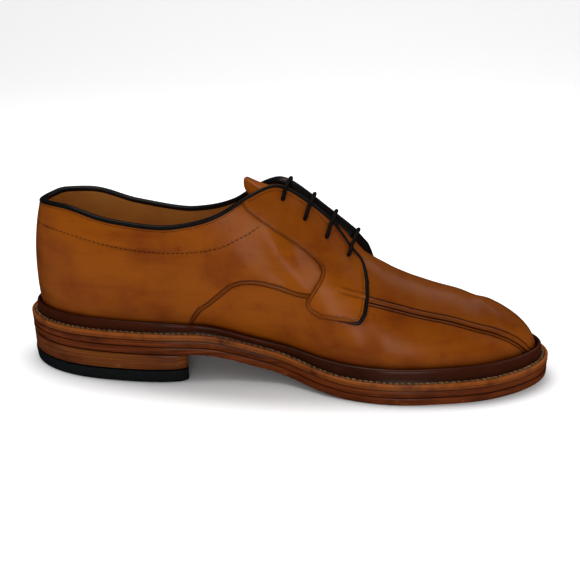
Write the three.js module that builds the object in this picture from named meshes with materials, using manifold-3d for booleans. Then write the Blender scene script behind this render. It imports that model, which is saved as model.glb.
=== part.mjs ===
// Bicycle toe derby shoe for the left foot, in millimetres.
// +X runs from heel to toe, +Y to the outer side of the foot, +Z up, and Z = 0 is the floor.
// The last is a family of columns: each starts on the feather line, where the upper meets the welt,
// and rises to the collar, the throat or the crest of the vamp.

import * as THREE from 'three';
import { mergeVertices } from 'three/addons/utils/BufferGeometryUtils.js';
import Module from 'manifold-3d';

const wasm = await Module();
wasm.setup();

// Driving sizes of the bottom
const soleLength = 308;
const ballWidth = 106;
const heelHeight = 18.6;
const heelInnerLength = 106;
const heelOuterLength = 86;
const toeSpring = 3;
const topLiftThickness = 8.4;
const outsoleThickness = 4.6;
const midsoleThickness = 3.8;
const weltThickness = 3.5;
const insoleThickness = 3;
const seatGap = 0.3;

// Driving sizes of the welt: how far the upper stands in from the sole edge, and the raised rib
const featherInset = 9;
const ribWidth = 3.4;
const ribHeight = 6.2;
const weltUnderUpper = 4.5;

// Driving sizes of the upper
const instepHeight = 89;
const wallThickness = 2;
const quarterStep = 0.8;
const ridgeHeight = 1.1;
const eyestayThickness = 1.3;
const tongueThickness = 2;
const tongueGap = 1.1;
const tongueSag = 2;
const tongueFreeLength = 21;
const bindingThickness = 2.2;
const bindingLap = 0.3;
const laceDiameter = 2.3;
const laceRoom = 0.4;
const eyeletDiameter = 3;

// Outline of the sole: half widths as shares of the ball width, over the round-ended form sin(turn)
const outlineRows = [
  { at: 0.00, medial: 0.560, lateral: 0.480 },
  { at: 0.05, medial: 0.540, lateral: 0.476 },
  { at: 0.10, medial: 0.512, lateral: 0.472 },
  { at: 0.20, medial: 0.441, lateral: 0.432 },
  { at: 0.30, medial: 0.376, lateral: 0.398 },
  { at: 0.40, medial: 0.291, lateral: 0.394 },
  { at: 0.50, medial: 0.279, lateral: 0.453 },
  { at: 0.60, medial: 0.392, lateral: 0.540 },
  { at: 0.70, medial: 0.484, lateral: 0.602 },
  { at: 0.80, medial: 0.525, lateral: 0.607 },
  { at: 0.90, medial: 0.558, lateral: 0.572 },
  { at: 1.00, medial: 0.560, lateral: 0.530 },
];

// Height of the sole's underside: heel as a share of the heel height, toe as a share of the toe spring
const bottomRows = [
  { at: 0.00, heel: 1.03, toe: 0 },
  { at: 0.27, heel: 0.97, toe: 0 },
  { at: 0.35, heel: 0.90, toe: 0 },
  { at: 0.40, heel: 0.78, toe: 0 },
  { at: 0.45, heel: 0.59, toe: 0 },
  { at: 0.50, heel: 0.39, toe: 0 },
  { at: 0.55, heel: 0.20, toe: 0 },
  { at: 0.60, heel: 0.065, toe: 0 },
  { at: 0.64, heel: 0, toe: 0 },
  { at: 0.72, heel: 0, toe: 0 },
  { at: 0.80, heel: 0, toe: 0.26 },
  { at: 0.90, heel: 0, toe: 0.52 },
  { at: 1.00, heel: 0, toe: 1 },
];

// Inset of the feather line from the sole edge, as a share of featherInset, and the rib's height
const featherRows = [
  { at: 0.00, inset: 0.86, rib: 0.97 },
  { at: 0.10, inset: 0.93, rib: 0.97 },
  { at: 0.30, inset: 0.93, rib: 0.82 },
  { at: 0.45, inset: 0.82, rib: 0.64 },
  { at: 0.65, inset: 1.03, rib: 1.00 },
  { at: 0.90, inset: 1.00, rib: 1.06 },
  { at: 1.00, inset: 0.80, rib: 1.00 },
];

// Columns of the upper, by their share of the sole length.
// topAt: where the top lies, as a share of the sole length. topHalf: half width there, like the outline.
// rise, drop: height of the top, and how much lower the outer side is, as shares of the instep height.
// leanMedial, leanLateral: outward lean at the feather line in degrees.
// topLean: lean at the top, 90 for a flat crest. foot, head: reach of the lower and upper curve handles.
const columnRows = [
  { at: 0.000, topAt: 0.051, topHalf: 0.300, rise: 0.746, drop: 0.000, leanMedial: 6, leanLateral: 6,
    foot: 0.30, topLean: 21, head: 0.33 },
  { at: 0.050, topAt: 0.070, topHalf: 0.325, rise: 0.768, drop: 0.006, leanMedial: 6, leanLateral: 6,
    foot: 0.30, topLean: 19, head: 0.33 },
  { at: 0.100, topAt: 0.113, topHalf: 0.350, rise: 0.768, drop: 0.017, leanMedial: 7, leanLateral: 7,
    foot: 0.30, topLean: 16, head: 0.33 },
  { at: 0.200, topAt: 0.203, topHalf: 0.322, rise: 0.700, drop: 0.039, leanMedial: 10, leanLateral: 10,
    foot: 0.32, topLean: 10, head: 0.33 },
  { at: 0.300, topAt: 0.300, topHalf: 0.278, rise: 0.668, drop: 0.045, leanMedial: 10, leanLateral: 8,
    foot: 0.33, topLean: 9, head: 0.33 },
  { at: 0.350, topAt: 0.350, topHalf: 0.255, rise: 0.698, drop: 0.045, leanMedial: 14, leanLateral: 6,
    foot: 0.33, topLean: 11, head: 0.33 },
  { at: 0.400, topAt: 0.400, topHalf: 0.226, rise: 0.772, drop: 0.039, leanMedial: 20, leanLateral: 6,
    foot: 0.34, topLean: 15, head: 0.33 },
  { at: 0.450, topAt: 0.451, topHalf: 0.166, rise: 0.913, drop: 0.022, leanMedial: 24, leanLateral: 8,
    foot: 0.35, topLean: 26, head: 0.33 },
  { at: 0.500, topAt: 0.502, topHalf: 0.085, rise: 1.008, drop: 0.006, leanMedial: 24, leanLateral: 8,
    foot: 0.36, topLean: 42, head: 0.36 },
  { at: 0.550, topAt: 0.551, topHalf: 0.057, rise: 0.947, drop: 0, leanMedial: 20, leanLateral: 8,
    foot: 0.36, topLean: 53, head: 0.38 },
  { at: 0.600, topAt: 0.602, topHalf: 0.048, rise: 0.825, drop: 0, leanMedial: 18, leanLateral: 9,
    foot: 0.36, topLean: 62, head: 0.42 },
  { at: 0.640, topAt: 0.641, topHalf: 0.036, rise: 0.705, drop: 0, leanMedial: 17, leanLateral: 10,
    foot: 0.36, topLean: 70, head: 0.46 },
  { at: 0.665, topAt: 0.664, topHalf: 0, rise: 0.625, drop: 0, leanMedial: 16, leanLateral: 10,
    foot: 0.38, topLean: 90, head: 0.50 },
  { at: 0.700, topAt: 0.700, topHalf: 0, rise: 0.553, drop: 0, leanMedial: 15, leanLateral: 11,
    foot: 0.42, topLean: 90, head: 0.55 },
  { at: 0.750, topAt: 0.748, topHalf: 0, rise: 0.478, drop: 0, leanMedial: 14, leanLateral: 11,
    foot: 0.46, topLean: 90, head: 0.57 },
  { at: 0.800, topAt: 0.793, topHalf: 0, rise: 0.422, drop: 0, leanMedial: 12, leanLateral: 10,
    foot: 0.50, topLean: 90, head: 0.57 },
  { at: 0.850, topAt: 0.829, topHalf: 0, rise: 0.391, drop: 0, leanMedial: 11, leanLateral: 9,
    foot: 0.53, topLean: 90, head: 0.57 },
  { at: 0.900, topAt: 0.853, topHalf: 0, rise: 0.362, drop: 0, leanMedial: 9, leanLateral: 8,
    foot: 0.53, topLean: 90, head: 0.55 },
  { at: 0.950, topAt: 0.867, topHalf: 0, rise: 0.348, drop: 0, leanMedial: 6, leanLateral: 6,
    foot: 0.52, topLean: 90, head: 0.52 },
  { at: 1.000, topAt: 0.871, topHalf: 0, rise: 0.336, drop: 0, leanMedial: 4, leanLateral: 4,
    foot: 0.46, topLean: 90, head: 0.50 },
];

// The seam line, as a share of the column height along the shoe: the quarter's edge over the vamp from
// the waist to under the facing, then the bicycle seam from there to the toe. Behind the waist it only
// spaces the rows.
const seamRows = [
  { at: 0.000, height: 0.420 },
  { at: 0.150, height: 0.380 },
  { at: 0.345, height: 0.020 },
  { at: 0.352, height: 0.060 },
  { at: 0.359, height: 0.120 },
  { at: 0.366, height: 0.182 },
  { at: 0.383, height: 0.255 },
  { at: 0.401, height: 0.330 },
  { at: 0.416, height: 0.382 },
  { at: 0.430, height: 0.414 },
  { at: 0.445, height: 0.419 },
  { at: 0.462, height: 0.409 },
  { at: 0.479, height: 0.392 },
  { at: 0.497, height: 0.376 },
  { at: 0.525, height: 0.371 },
  { at: 0.543, height: 0.374 },
  { at: 0.563, height: 0.390 },
  { at: 0.600, height: 0.450 },
  { at: 0.623, height: 0.500 },
  { at: 0.650, height: 0.540 },
  { at: 0.676, height: 0.562 },
  { at: 0.734, height: 0.594 },
  { at: 0.792, height: 0.588 },
  { at: 0.847, height: 0.545 },
  { at: 0.896, height: 0.490 },
  { at: 0.925, height: 0.420 },
  { at: 0.950, height: 0.330 },
  { at: 0.964, height: 0.250 },
  { at: 0.975, height: 0.150 },
  { at: 0.985, height: 0.075 },
  { at: 1.000, height: 0.060 },
];

// Outline of the eyestay: its back and front edges at each share of the column height
const eyestayRows = [
  { at: 0.325, back: 0.585, front: 0.632 },
  { at: 0.333, back: 0.568, front: 0.650 },
  { at: 0.370, back: 0.562, front: 0.660 },
  { at: 0.420, back: 0.569, front: 0.665 },
  { at: 0.470, back: 0.577, front: 0.669 },
  { at: 0.540, back: 0.586, front: 0.671 },
  { at: 0.585, back: 0.589, front: 0.672 },
  { at: 0.613, back: 0.586, front: 0.672 },
  { at: 0.640, back: 0.573, front: 0.671 },
  { at: 0.660, back: 0.535, front: 0.671 },
  { at: 0.700, back: 0.505, front: 0.670 },
  { at: 0.750, back: 0.480, front: 0.667 },
  { at: 0.820, back: 0.464, front: 0.661 },
  { at: 0.887, back: 0.452, front: 0.649 },
  { at: 0.923, back: 0.447, front: 0.631 },
  { at: 0.960, back: 0.443, front: 0.616 },
  { at: 1.000, back: 0.440, front: 0.600 },
  { at: 1.040, back: 0.436, front: 0.594 },
];

// Eyelets: share of the sole length, and of the column height
const eyeletRows = [
  { at: 0.512, height: 0.905 },
  { at: 0.553, height: 0.850 },
  { at: 0.592, height: 0.830 },
  { at: 0.630, height: 0.815 },
];

// How the surfaces are cut into facets
const columnsPerSide = 42;
const rowsBelowSeam = 5;
const rowsAboveSeam = 5;
const ridgeHalfShare = 0.035;
const stepHalfShare = 0.008;

// Where features start and end, as shares of the sole length. The tab's two are shares of the column
// height: below tabTop its foot slants up towards the toe.
const seamFoot = 0.335;
const quarterEnd = 0.640;
const throatEnd = 0.665;
const eyestayBack = 0.440;
const tabTop = 0.450;
const tabSlant = 0.052;
const bindingEnd = 0.605;

// Value of a table's column between its rows, on a curve with no overshoot
function follow(rows, column, at) {
  const last = rows.length - 1;
  const place = Math.min(Math.max(at, rows[0].at), rows[last].at);
  let row = 0;
  while (row < last - 1 && rows[row + 1].at < place) row += 1;
  const width = rows[row + 1].at - rows[row].at;
  const share = (place - rows[row].at) / width;
  const start = rows[row][column];
  const end = rows[row + 1][column];
  const startSlope = rowSlope(rows, column, row) * width;
  const endSlope = rowSlope(rows, column, row + 1) * width;
  const square = share * share;
  const cube = square * share;
  return start * (2 * cube - 3 * square + 1) + startSlope * (cube - 2 * square + share)
    + end * (3 * square - 2 * cube) + endSlope * (cube - square);
}

// Slope of a table's column at one row: the weighted mean of its neighbours, or flat at a turn
function rowSlope(rows, column, row) {
  const step = (index) => rows[index + 1].at - rows[index].at;
  const slope = (index) => (rows[index + 1][column] - rows[index][column]) / step(index);
  if (row === 0) return slope(0);
  if (row === rows.length - 1) return slope(row - 1);
  const before = slope(row - 1);
  const after = slope(row);
  if (before * after <= 0) return 0;
  const beforeWeight = 2 * step(row) + step(row - 1);
  const afterWeight = step(row) + 2 * step(row - 1);
  return (beforeWeight + afterWeight) / (beforeWeight / before + afterWeight / after);
}

// The foot's axis lies off the middle of the sole: half the difference of its two greatest half widths
const greatestHalf = { medial: 0, lateral: 0 };
for (let step = 0; step <= 200; step += 1) {
  const turn = Math.PI * step / 200;
  for (const side of ['medial', 'lateral']) {
    const half = ballWidth * follow(outlineRows, side, shareAt(turn)) * Math.sin(turn);
    greatestHalf[side] = Math.max(greatestHalf[side], half);
  }
}
const axisShift = (greatestHalf.lateral - greatestHalf.medial) / 2;

// A turn runs round the shoe: 0 at the heel, PI at the toe by the medial side, then back
function shareAt(turn) {
  return (1 - Math.cos(turn)) / 2;
}

function turnAt(share, side) {
  const turn = Math.acos(1 - 2 * share);
  return side === 'medial' ? turn : 2 * Math.PI - turn;
}

function sideAt(turn) {
  return Math.sin(turn) >= 0 ? 'medial' : 'lateral';
}

function edgePoint(turn) {
  const half = ballWidth * follow(outlineRows, sideAt(turn), shareAt(turn)) * Math.sin(turn);
  return new THREE.Vector2(soleLength * (shareAt(turn) - 0.5), -half - axisShift);
}

// Direction out of the sole at its edge
function edgeOutward(turn) {
  const reach = 0.02;
  const along = edgePoint(turn + reach).sub(edgePoint(turn - reach)).normalize();
  return new THREE.Vector2(along.y, -along.x);
}

function insetPoint(turn, inset) {
  return edgePoint(turn).addScaledVector(edgeOutward(turn), -inset);
}

function undersideHeight(x) {
  const share = x / soleLength + 0.5;
  return heelHeight * follow(bottomRows, 'heel', share) + toeSpring * follow(bottomRows, 'toe', share);
}

const midsoleBase = outsoleThickness + seatGap;
const weltBase = midsoleBase + midsoleThickness + seatGap;
const upperBase = weltBase + weltThickness + seatGap;

function featherInsetAt(turn) {
  return featherInset * follow(featherRows, 'inset', shareAt(turn));
}

// Point where a column of the upper starts
function featherPoint(turn) {
  const flat = insetPoint(turn, featherInsetAt(turn));
  return new THREE.Vector3(flat.x, flat.y, undersideHeight(flat.x) + upperBase);
}

// Point where a column of the upper ends
function topPoint(turn) {
  const share = shareAt(turn);
  const drop = sideAt(turn) === 'medial' ? 0 : follow(columnRows, 'drop', share);
  const half = ballWidth * follow(columnRows, 'topHalf', share) * Math.sin(turn);
  const base = undersideHeight(soleLength * (share - 0.5)) + upperBase;
  const height = base + instepHeight * (follow(columnRows, 'rise', share) - drop);
  const x = soleLength * (follow(columnRows, 'topAt', share) - 0.5);
  return new THREE.Vector3(x, -half - axisShift, height);
}

// Fall of the vamp's crest towards the toe, mm for each mm forward
function crestSlope(turn) {
  const share = Math.min(Math.max(shareAt(turn), 0.67), 0.985);
  const ahead = topPoint(turnAt(share + 0.004, 'medial'));
  const behind = topPoint(turnAt(share - 0.004, 'medial'));
  return (ahead.z - behind.z) / (ahead.x - behind.x);
}

// Outward lean of a column at the feather line, in radians
function leanAt(turn) {
  const column = sideAt(turn) === 'medial' ? 'leanMedial' : 'leanLateral';
  return THREE.MathUtils.degToRad(follow(columnRows, column, shareAt(turn)));
}

// The curve of one column, from the feather line to the top
function columnCurve(turn) {
  const share = shareAt(turn);
  const outward = edgeOutward(turn);
  const feather = featherPoint(turn);
  const top = topPoint(turn);
  const rise = top.z - feather.z;
  const lean = leanAt(turn);
  const topLean = THREE.MathUtils.degToRad(follow(columnRows, 'topLean', share));
  const upright = new THREE.Vector3(outward.x * Math.sin(lean), outward.y * Math.sin(lean), Math.cos(lean));
  const lower = feather.clone().addScaledVector(upright, follow(columnRows, 'foot', share) * rise);
  const leastReach = 8;
  const reach = Math.max(Math.hypot(feather.x - top.x, feather.y - top.y), leastReach);
  const crestShare = THREE.MathUtils.clamp((share - 0.6) / 0.1, 0, 1);
  const fall = outward.x * Math.sin(topLean) * crestSlope(turn) * crestShare;
  const downward = new THREE.Vector3(
    outward.x * Math.sin(topLean), outward.y * Math.sin(topLean), fall - Math.cos(topLean));
  const span = Math.sin(topLean) ** 2 * reach + Math.cos(topLean) ** 2 * rise;
  const handle = follow(columnRows, 'head', share) * span;
  const upper = top.clone().addScaledVector(downward, handle);
  return new THREE.CubicBezierCurve3(feather, lower, upper, top);
}

function lastPoint(turn, height) {
  return columnCurve(turn).getPoint(height);
}

// Direction out of the last, level along the feather line and upright across along the crest
function lastOutward(turn, height) {
  const onCrest = height > 0.999 && shareAt(turn) >= throatEnd - 0.0005;
  if (onCrest) return new THREE.Vector3(-crestSlope(turn), 0, 1).normalize();
  const inside = Math.min(Math.max(height, 0.01), 0.97);
  const reach = 0.015;
  const along = lastPoint(turn + reach, inside).sub(lastPoint(turn - reach, inside));
  const up = lastPoint(turn, inside + reach).sub(lastPoint(turn, inside - reach));
  const outward = along.cross(up).normalize();
  if (height < 0.001) outward.setZ(0).normalize();
  return outward;
}

function formPoint(turn, height, offset) {
  return lastPoint(turn, height).addScaledVector(lastOutward(turn, height), offset);
}

// Turns of the columns, spread half by angle and half by length so that neither end nor instep is coarse
const shareStops = [];
for (let column = 0; column <= columnsPerSide; column += 1) {
  const even = column / columnsPerSide;
  const angle = Math.PI * even;
  shareStops.push(0.6 * shareAt(angle) + 0.4 * even);
}
for (const stop of [0.345, 0.375, throatEnd]) {
  const nearest = shareStops.reduce((best, share, column) =>
    (Math.abs(share - stop) < Math.abs(shareStops[best] - stop) ? column : best), 0);
  shareStops[nearest] = stop;
}
const throatColumn = shareStops.indexOf(throatEnd);
const medialTurns = shareStops.map((share) => turnAt(share, 'medial'));
const lateralTurns = shareStops.slice(1, -1).map((share) => turnAt(share, 'lateral')).reverse();
const loopTurns = [...medialTurns, ...lateralTurns];

// Shares of the column height at which the rows run: three of them follow the seam line
function rowHeights(turn) {
  const share = shareAt(turn);
  const seam = follow(seamRows, 'height', share);
  const spread = THREE.MathUtils.lerp(stepHalfShare, ridgeHalfShare, ridgeFade(share));
  const low = Math.max(seam - spread, seam * 0.5);
  const high = seam + ridgeHalfShare;
  const heights = [];
  for (let row = 0; row <= rowsBelowSeam; row += 1) heights.push(low * row / rowsBelowSeam);
  heights.push(seam);
  for (let row = 0; row <= rowsAboveSeam; row += 1) {
    heights.push(high + (1 - high) * row / rowsAboveSeam);
  }
  return heights;
}
const seamRow = rowsBelowSeam + 1;
const rowCount = rowsBelowSeam + rowsAboveSeam + 3;

// The bicycle ridge stands from under the facing to the toe
function ridgeFade(share) {
  const risen = THREE.MathUtils.smoothstep(share, 0.60, 0.66);
  return risen * (1 - THREE.MathUtils.smoothstep(share, 0.975, 0.995));
}

// Height of the leather over the last: a step at the quarter's edge, and the bicycle ridge along the vamp
function leatherLift(turn, row) {
  const share = shareAt(turn);
  if (share < seamFoot) return quarterStep;
  if (row < seamRow) return 0;
  const quarter = quarterStep * (1 - THREE.MathUtils.smoothstep(share, quarterEnd, throatEnd));
  const ridge = row === seamRow ? ridgeHeight * ridgeFade(share) : 0;
  return Math.max(quarter, ridge);
}

// A closed solid from loops of triangles, each a list of three points
function closedMesh(triangles) {
  const positions = [];
  for (const triangle of triangles) {
    for (const corner of triangle) positions.push(corner.x, corner.y, corner.z);
  }
  const loose = new THREE.BufferGeometry();
  loose.setAttribute('position', new THREE.Float32BufferAttribute(positions, 3));
  return facingOut(withoutSlivers(mergeVertices(loose, 1e-4)));
}

function withoutSlivers(geometry) {
  const index = geometry.getIndex().array;
  const kept = [];
  for (let start = 0; start < index.length; start += 3) {
    const [a, b, c] = index.slice(start, start + 3);
    if (a !== b && b !== c && c !== a) kept.push(a, b, c);
  }
  geometry.setIndex(kept);
  return geometry;
}

function signedVolume(geometry) {
  const index = geometry.getIndex().array;
  const position = geometry.getAttribute('position');
  const corners = [new THREE.Vector3(), new THREE.Vector3(), new THREE.Vector3()];
  let volume = 0;
  for (let start = 0; start < index.length; start += 3) {
    corners.forEach((corner, place) => corner.fromBufferAttribute(position, index[start + place]));
    volume += corners[0].dot(corners[1].clone().cross(corners[2])) / 6;
  }
  return volume;
}

function facingOut(geometry) {
  if (signedVolume(geometry) < 0) {
    const index = Array.from(geometry.getIndex().array);
    for (let start = 0; start < index.length; start += 3) {
      [index[start + 1], index[start + 2]] = [index[start + 2], index[start + 1]];
    }
    geometry.setIndex(index);
  }
  return geometry;
}

function quad(triangles, a, b, c, d) {
  triangles.push([a, b, c], [a, c, d]);
}

function toSolid(geometry) {
  return new wasm.Manifold(new wasm.Mesh({
    numProp: 3,
    vertProperties: new Float32Array(geometry.getAttribute('position').array),
    triVerts: new Uint32Array(geometry.getIndex().array),
  }));
}

function toGeometry(solid) {
  const mesh = solid.getMesh();
  const geometry = new THREE.BufferGeometry();
  geometry.setAttribute('position', new THREE.BufferAttribute(new Float32Array(mesh.vertProperties), 3));
  geometry.setIndex(Array.from(mesh.triVerts));
  return geometry;
}

// A solid of stacked loops, with its two ends closed by strips from one side of the shoe to the other
function stackedSolid(loops) {
  const triangles = [];
  for (let level = 1; level < loops.length; level += 1) {
    bandBetween(triangles, loops[level - 1], loops[level]);
  }
  capLoop(triangles, loops[0], true);
  capLoop(triangles, loops[loops.length - 1], false);
  return closedMesh(triangles);
}

// A solid ring whose cross-section has one corner on each loop
function ringSolid(loops) {
  const triangles = [];
  loops.forEach((loop, level) => bandBetween(triangles, loop, loops[(level + 1) % loops.length]));
  return closedMesh(triangles);
}

function bandBetween(triangles, lower, upper) {
  lower.forEach((point, index) => {
    const next = (index + 1) % lower.length;
    quad(triangles, point, lower[next], upper[next], upper[index]);
  });
}

function capLoop(triangles, loop, flipped) {
  const count = loop.length;
  for (let near = 0; near < count / 2; near += 1) {
    const far = (count - near) % count;
    const nextFar = (count - near - 1) % count;
    if (flipped) quad(triangles, loop[near], loop[far], loop[nextFar], loop[near + 1]);
    else quad(triangles, loop[near], loop[near + 1], loop[nextFar], loop[far]);
  }
}

// A loop of points at one inset from the sole edge, at one height over the sole's underside
function soleLoop(inset, lift) {
  return loopTurns.map((turn) => {
    const flat = insetPoint(turn, inset);
    return new THREE.Vector3(flat.x, flat.y, undersideHeight(flat.x) + lift);
  });
}

// Layers of the bottom
function makeOutsole() {
  const rounding = 0.9;
  return stackedSolid([
    soleLoop(rounding, 0),
    soleLoop(0, rounding),
    soleLoop(0, outsoleThickness),
  ]);
}

function makeMidsole() {
  const set = 0.25;
  return stackedSolid([
    soleLoop(set, midsoleBase),
    soleLoop(set, midsoleBase + midsoleThickness),
  ]);
}

// The welt is a flat ring with a rib raised against the upper
function makeWelt() {
  const top = weltBase + weltThickness;
  const edgeRounding = 0.6;
  const ringAt = (insetAt, lift, onRib = false) => loopTurns.map((turn) => {
    const flat = insetPoint(turn, insetAt(turn));
    const rise = onRib ? ribHeightAt(turn) : 0;
    return new THREE.Vector3(flat.x, flat.y, undersideHeight(flat.x) + lift + rise);
  });
  const ribInner = (turn) => featherInsetAt(turn) - ribClearance(turn);
  return ringSolid([
    ringAt(() => 0, weltBase),
    ringAt(() => 0, top - edgeRounding),
    ringAt(() => edgeRounding, top),
    ringAt((turn) => ribInner(turn) - ribWidth, top),
    ringAt((turn) => ribInner(turn) - ribWidth * 0.8, top, true),
    ringAt(ribInner, top, true),
    ringAt(ribInner, top),
    ringAt((turn) => featherInsetAt(turn) + weltUnderUpper, top),
    ringAt((turn) => featherInsetAt(turn) + weltUnderUpper, weltBase),
  ]);
}

function ribHeightAt(turn) {
  return ribHeight * follow(featherRows, 'rib', shareAt(turn));
}

// Room that the upper's outward lean takes beside the rib
function ribClearance(turn) {
  return seatGap * 2 + quarterStep + Math.tan(leanAt(turn)) * ribHeightAt(turn);
}

// The insole lies inside the upper, on the welt's inner margin
function makeInsole() {
  const edgeRoom = wallThickness + 2 * seatGap;
  const levelAt = (lift, extra) => loopTurns.map((turn) => {
    const flat = insetPoint(turn, featherInsetAt(turn) + edgeRoom + extra);
    return new THREE.Vector3(flat.x, flat.y, undersideHeight(flat.x) + upperBase + lift);
  });
  return stackedSolid([levelAt(0, 0), levelAt(insoleThickness - 0.8, 0), levelAt(insoleThickness, 0.8)]);
}

// A block of the heel between two heights, longer on the inner side of the foot. Its front, the
// breast, is hollowed and its corners are rounded.
function makeHeelBlock(lowInset, highInset, lowHeight, highHeight) {
  const breastHollow = 3;
  const cornerRounding = 1.5;
  const innerEnd = Math.acos(1 - 2 * heelInnerLength / soleLength);
  const outerEnd = Math.acos(1 - 2 * heelOuterLength / soleLength);
  const sideTurns = [];
  const steps = 34;
  for (let step = 0; step <= steps; step += 1) {
    sideTurns.push(-outerEnd + (innerEnd + outerEnd) * step / steps);
  }
  const loopAt = (inset, heightAt) => {
    const flats = sideTurns.map((turn) => insetPoint(turn, inset));
    const first = flats[0].clone();
    const last = flats[flats.length - 1].clone();
    flats[0].x -= cornerRounding;
    flats[flats.length - 1].x -= cornerRounding;
    for (let step = 1; step < 6; step += 1) {
      const share = step / 6;
      const across = last.clone().lerp(first, share);
      across.x -= breastHollow * 4 * share * (1 - share);
      flats.push(across);
    }
    return flats.map((flat) => new THREE.Vector3(flat.x, flat.y, heightAt(flat.x)));
  };
  const low = loopAt(lowInset, lowHeight);
  const high = loopAt(highInset, highHeight);
  const triangles = [];
  bandBetween(triangles, low, high);
  capFan(triangles, low, true);
  capFan(triangles, high, false);
  return closedMesh(triangles);
}

// Closes a loop of the heel by strips across it, from the back to the breast
function capFan(triangles, loop, flipped) {
  const shape = loop.map((point) => new THREE.Vector2(point.x, point.y));
  for (const face of THREE.ShapeUtils.triangulateShape(shape, [])) {
    const corners = face.map((place) => loop[place]);
    if (flipped) corners.reverse();
    triangles.push(corners);
  }
}

const heelTaper = -0.1;
const liftInset = 0.1;

function makeTopLift() {
  return makeHeelBlock(liftInset + heelTaper, liftInset + heelTaper * 0.7, () => 0, () => topLiftThickness);
}

function makeHeelLifts() {
  const outsoleUnderside = (x) => undersideHeight(x) - seatGap;
  return makeHeelBlock(liftInset + heelTaper * 0.6, liftInset, () => topLiftThickness, outsoleUnderside);
}

// A sheet over the last between two offsets. Its ends are open edges of the last: rims join them.
function lastShell(inner, outer) {
  const innerGrid = loopTurns.map((turn) => columnPoints(turn, inner, false));
  const outerGrid = loopTurns.map((turn) => columnPoints(turn, outer, true));
  const triangles = [];
  const top = rowCount - 1;
  const count = loopTurns.length;
  for (let column = 0; column < count; column += 1) {
    const next = (column + 1) % count;
    for (let row = 0; row < top; row += 1) {
      quad(triangles, outerGrid[column][row], outerGrid[next][row], outerGrid[next][row + 1],
        outerGrid[column][row + 1]);
      quad(triangles, innerGrid[column][row], innerGrid[column][row + 1], innerGrid[next][row + 1],
        innerGrid[next][row]);
    }
    quad(triangles, outerGrid[column][0], innerGrid[column][0], innerGrid[next][0], outerGrid[next][0]);
    const mirrored = Math.min(column, count - column);
    const mirroredNext = Math.min(next, count - next);
    if (Math.min(mirrored, mirroredNext) < throatColumn) {
      quad(triangles, outerGrid[column][top], outerGrid[next][top], innerGrid[next][top],
        innerGrid[column][top]);
    }
  }
  return closedMesh(triangles);
}

function columnPoints(turn, offset, lifted) {
  return rowHeights(turn).map((height, row) => {
    const lift = lifted ? leatherLift(turn, row) : 0;
    return formPoint(turn, height, offset + lift);
  });
}

// A sheet over part of the last, on the same columns and rows as the upper
function lastPatch(turns, firstRow, inner, outer) {
  return patchSolid(turns.map((turn) => rowHeights(turn).slice(firstRow)
    .map((height, row) => ({ turn, height, lift: leatherLift(turn, firstRow + row) }))), inner, outer);
}

// A solid over a grid of places on the last, between two offsets
function patchSolid(places, inner, outer) {
  const gridAt = (offset) => places.map((column) => column.map((place) =>
    formPoint(place.turn, place.height, offset + place.lift)));
  return gridSolid(gridAt(outer), gridAt(inner));
}

// A thick block over the region between two edges of the last, which cuts pieces to their outline
function cutterSolid(columns) {
  const depth = 3.2;
  const reach = 5;
  return toSolid(patchSolid(columns, -depth, reach));
}

function eyestayCutter(side) {
  const steps = 6;
  const columns = [];
  for (let step = 0; step <= steps; step += 1) {
    columns.push(eyestayRows.map((row) => {
      const across = step / steps;
      const share = THREE.MathUtils.lerp(row.back, row.front, across);
      const below = Math.max(0, (tabTop - row.at) / (tabTop - eyestayRows[0].at));
      const slant = tabSlant * (across - 0.2) * below;
      return { turn: turnAt(share, side), height: row.at + slant, lift: 0 };
    }));
  }
  return cutterSolid(columns);
}

// A round pin through the leather at an eyelet
function eyeletPin(side, row) {
  const turn = turnAt(row.at, side);
  const outward = lastOutward(turn, row.height);
  const pinLength = 14;
  const pinSides = 10;
  const pin = new THREE.CylinderGeometry(eyeletDiameter / 2, eyeletDiameter / 2, pinLength, pinSides);
  pin.applyQuaternion(new THREE.Quaternion().setFromUnitVectors(new THREE.Vector3(0, 1, 0), outward));
  const centre = lastPoint(turn, row.height);
  pin.translate(centre.x, centre.y, centre.z);
  pin.deleteAttribute('normal');
  pin.deleteAttribute('uv');
  return toSolid(mergeVertices(pin, 1e-4));
}

const eyestayOffset = seatGap;

// The upper: one hollow wall, thicker where the quarters lie over the vamp
function makeUpper() {
  let upper = toSolid(lastShell(-wallThickness, 0));
  for (const side of ['medial', 'lateral']) {
    for (const row of eyeletRows) upper = upper.subtract(eyeletPin(side, row));
  }
  return toGeometry(upper);
}

function makeEyestay(side) {
  const margin = 0.045;
  const shares = shareStops.filter((share) => share > eyestayBack - margin && share < throatEnd + margin);
  const turns = shares.map((share) => turnAt(share, side)).sort((first, second) => first - second);
  let eyestay = toSolid(lastPatch(turns, 2, eyestayOffset, eyestayOffset + eyestayThickness));
  eyestay = eyestay.intersect(eyestayCutter(side));
  for (const row of eyeletRows) eyestay = eyestay.subtract(eyeletPin(side, row));
  return toGeometry(eyestay);
}

// The tongue: an arched strip under the facings, free above them
function tongueSection(share, offset) {
  const heights = [0.80, 0.86, 0.92, 0.97];
  const medial = heights.map((height) => formPoint(turnAt(share, 'medial'), height, offset));
  const lateral = heights.map((height) => formPoint(turnAt(share, 'lateral'), height, offset));
  const medialTop = formPoint(turnAt(share, 'medial'), 1, offset);
  const lateralTop = formPoint(turnAt(share, 'lateral'), 1, offset);
  const centre = medialTop.lerp(lateralTop, 0.5);
  const open = follow(columnRows, 'topHalf', share) / follow(columnRows, 'topHalf', 0.55);
  centre.z -= tongueSag * Math.min(open, 1);
  return [...medial, centre, ...lateral.reverse()];
}

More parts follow.
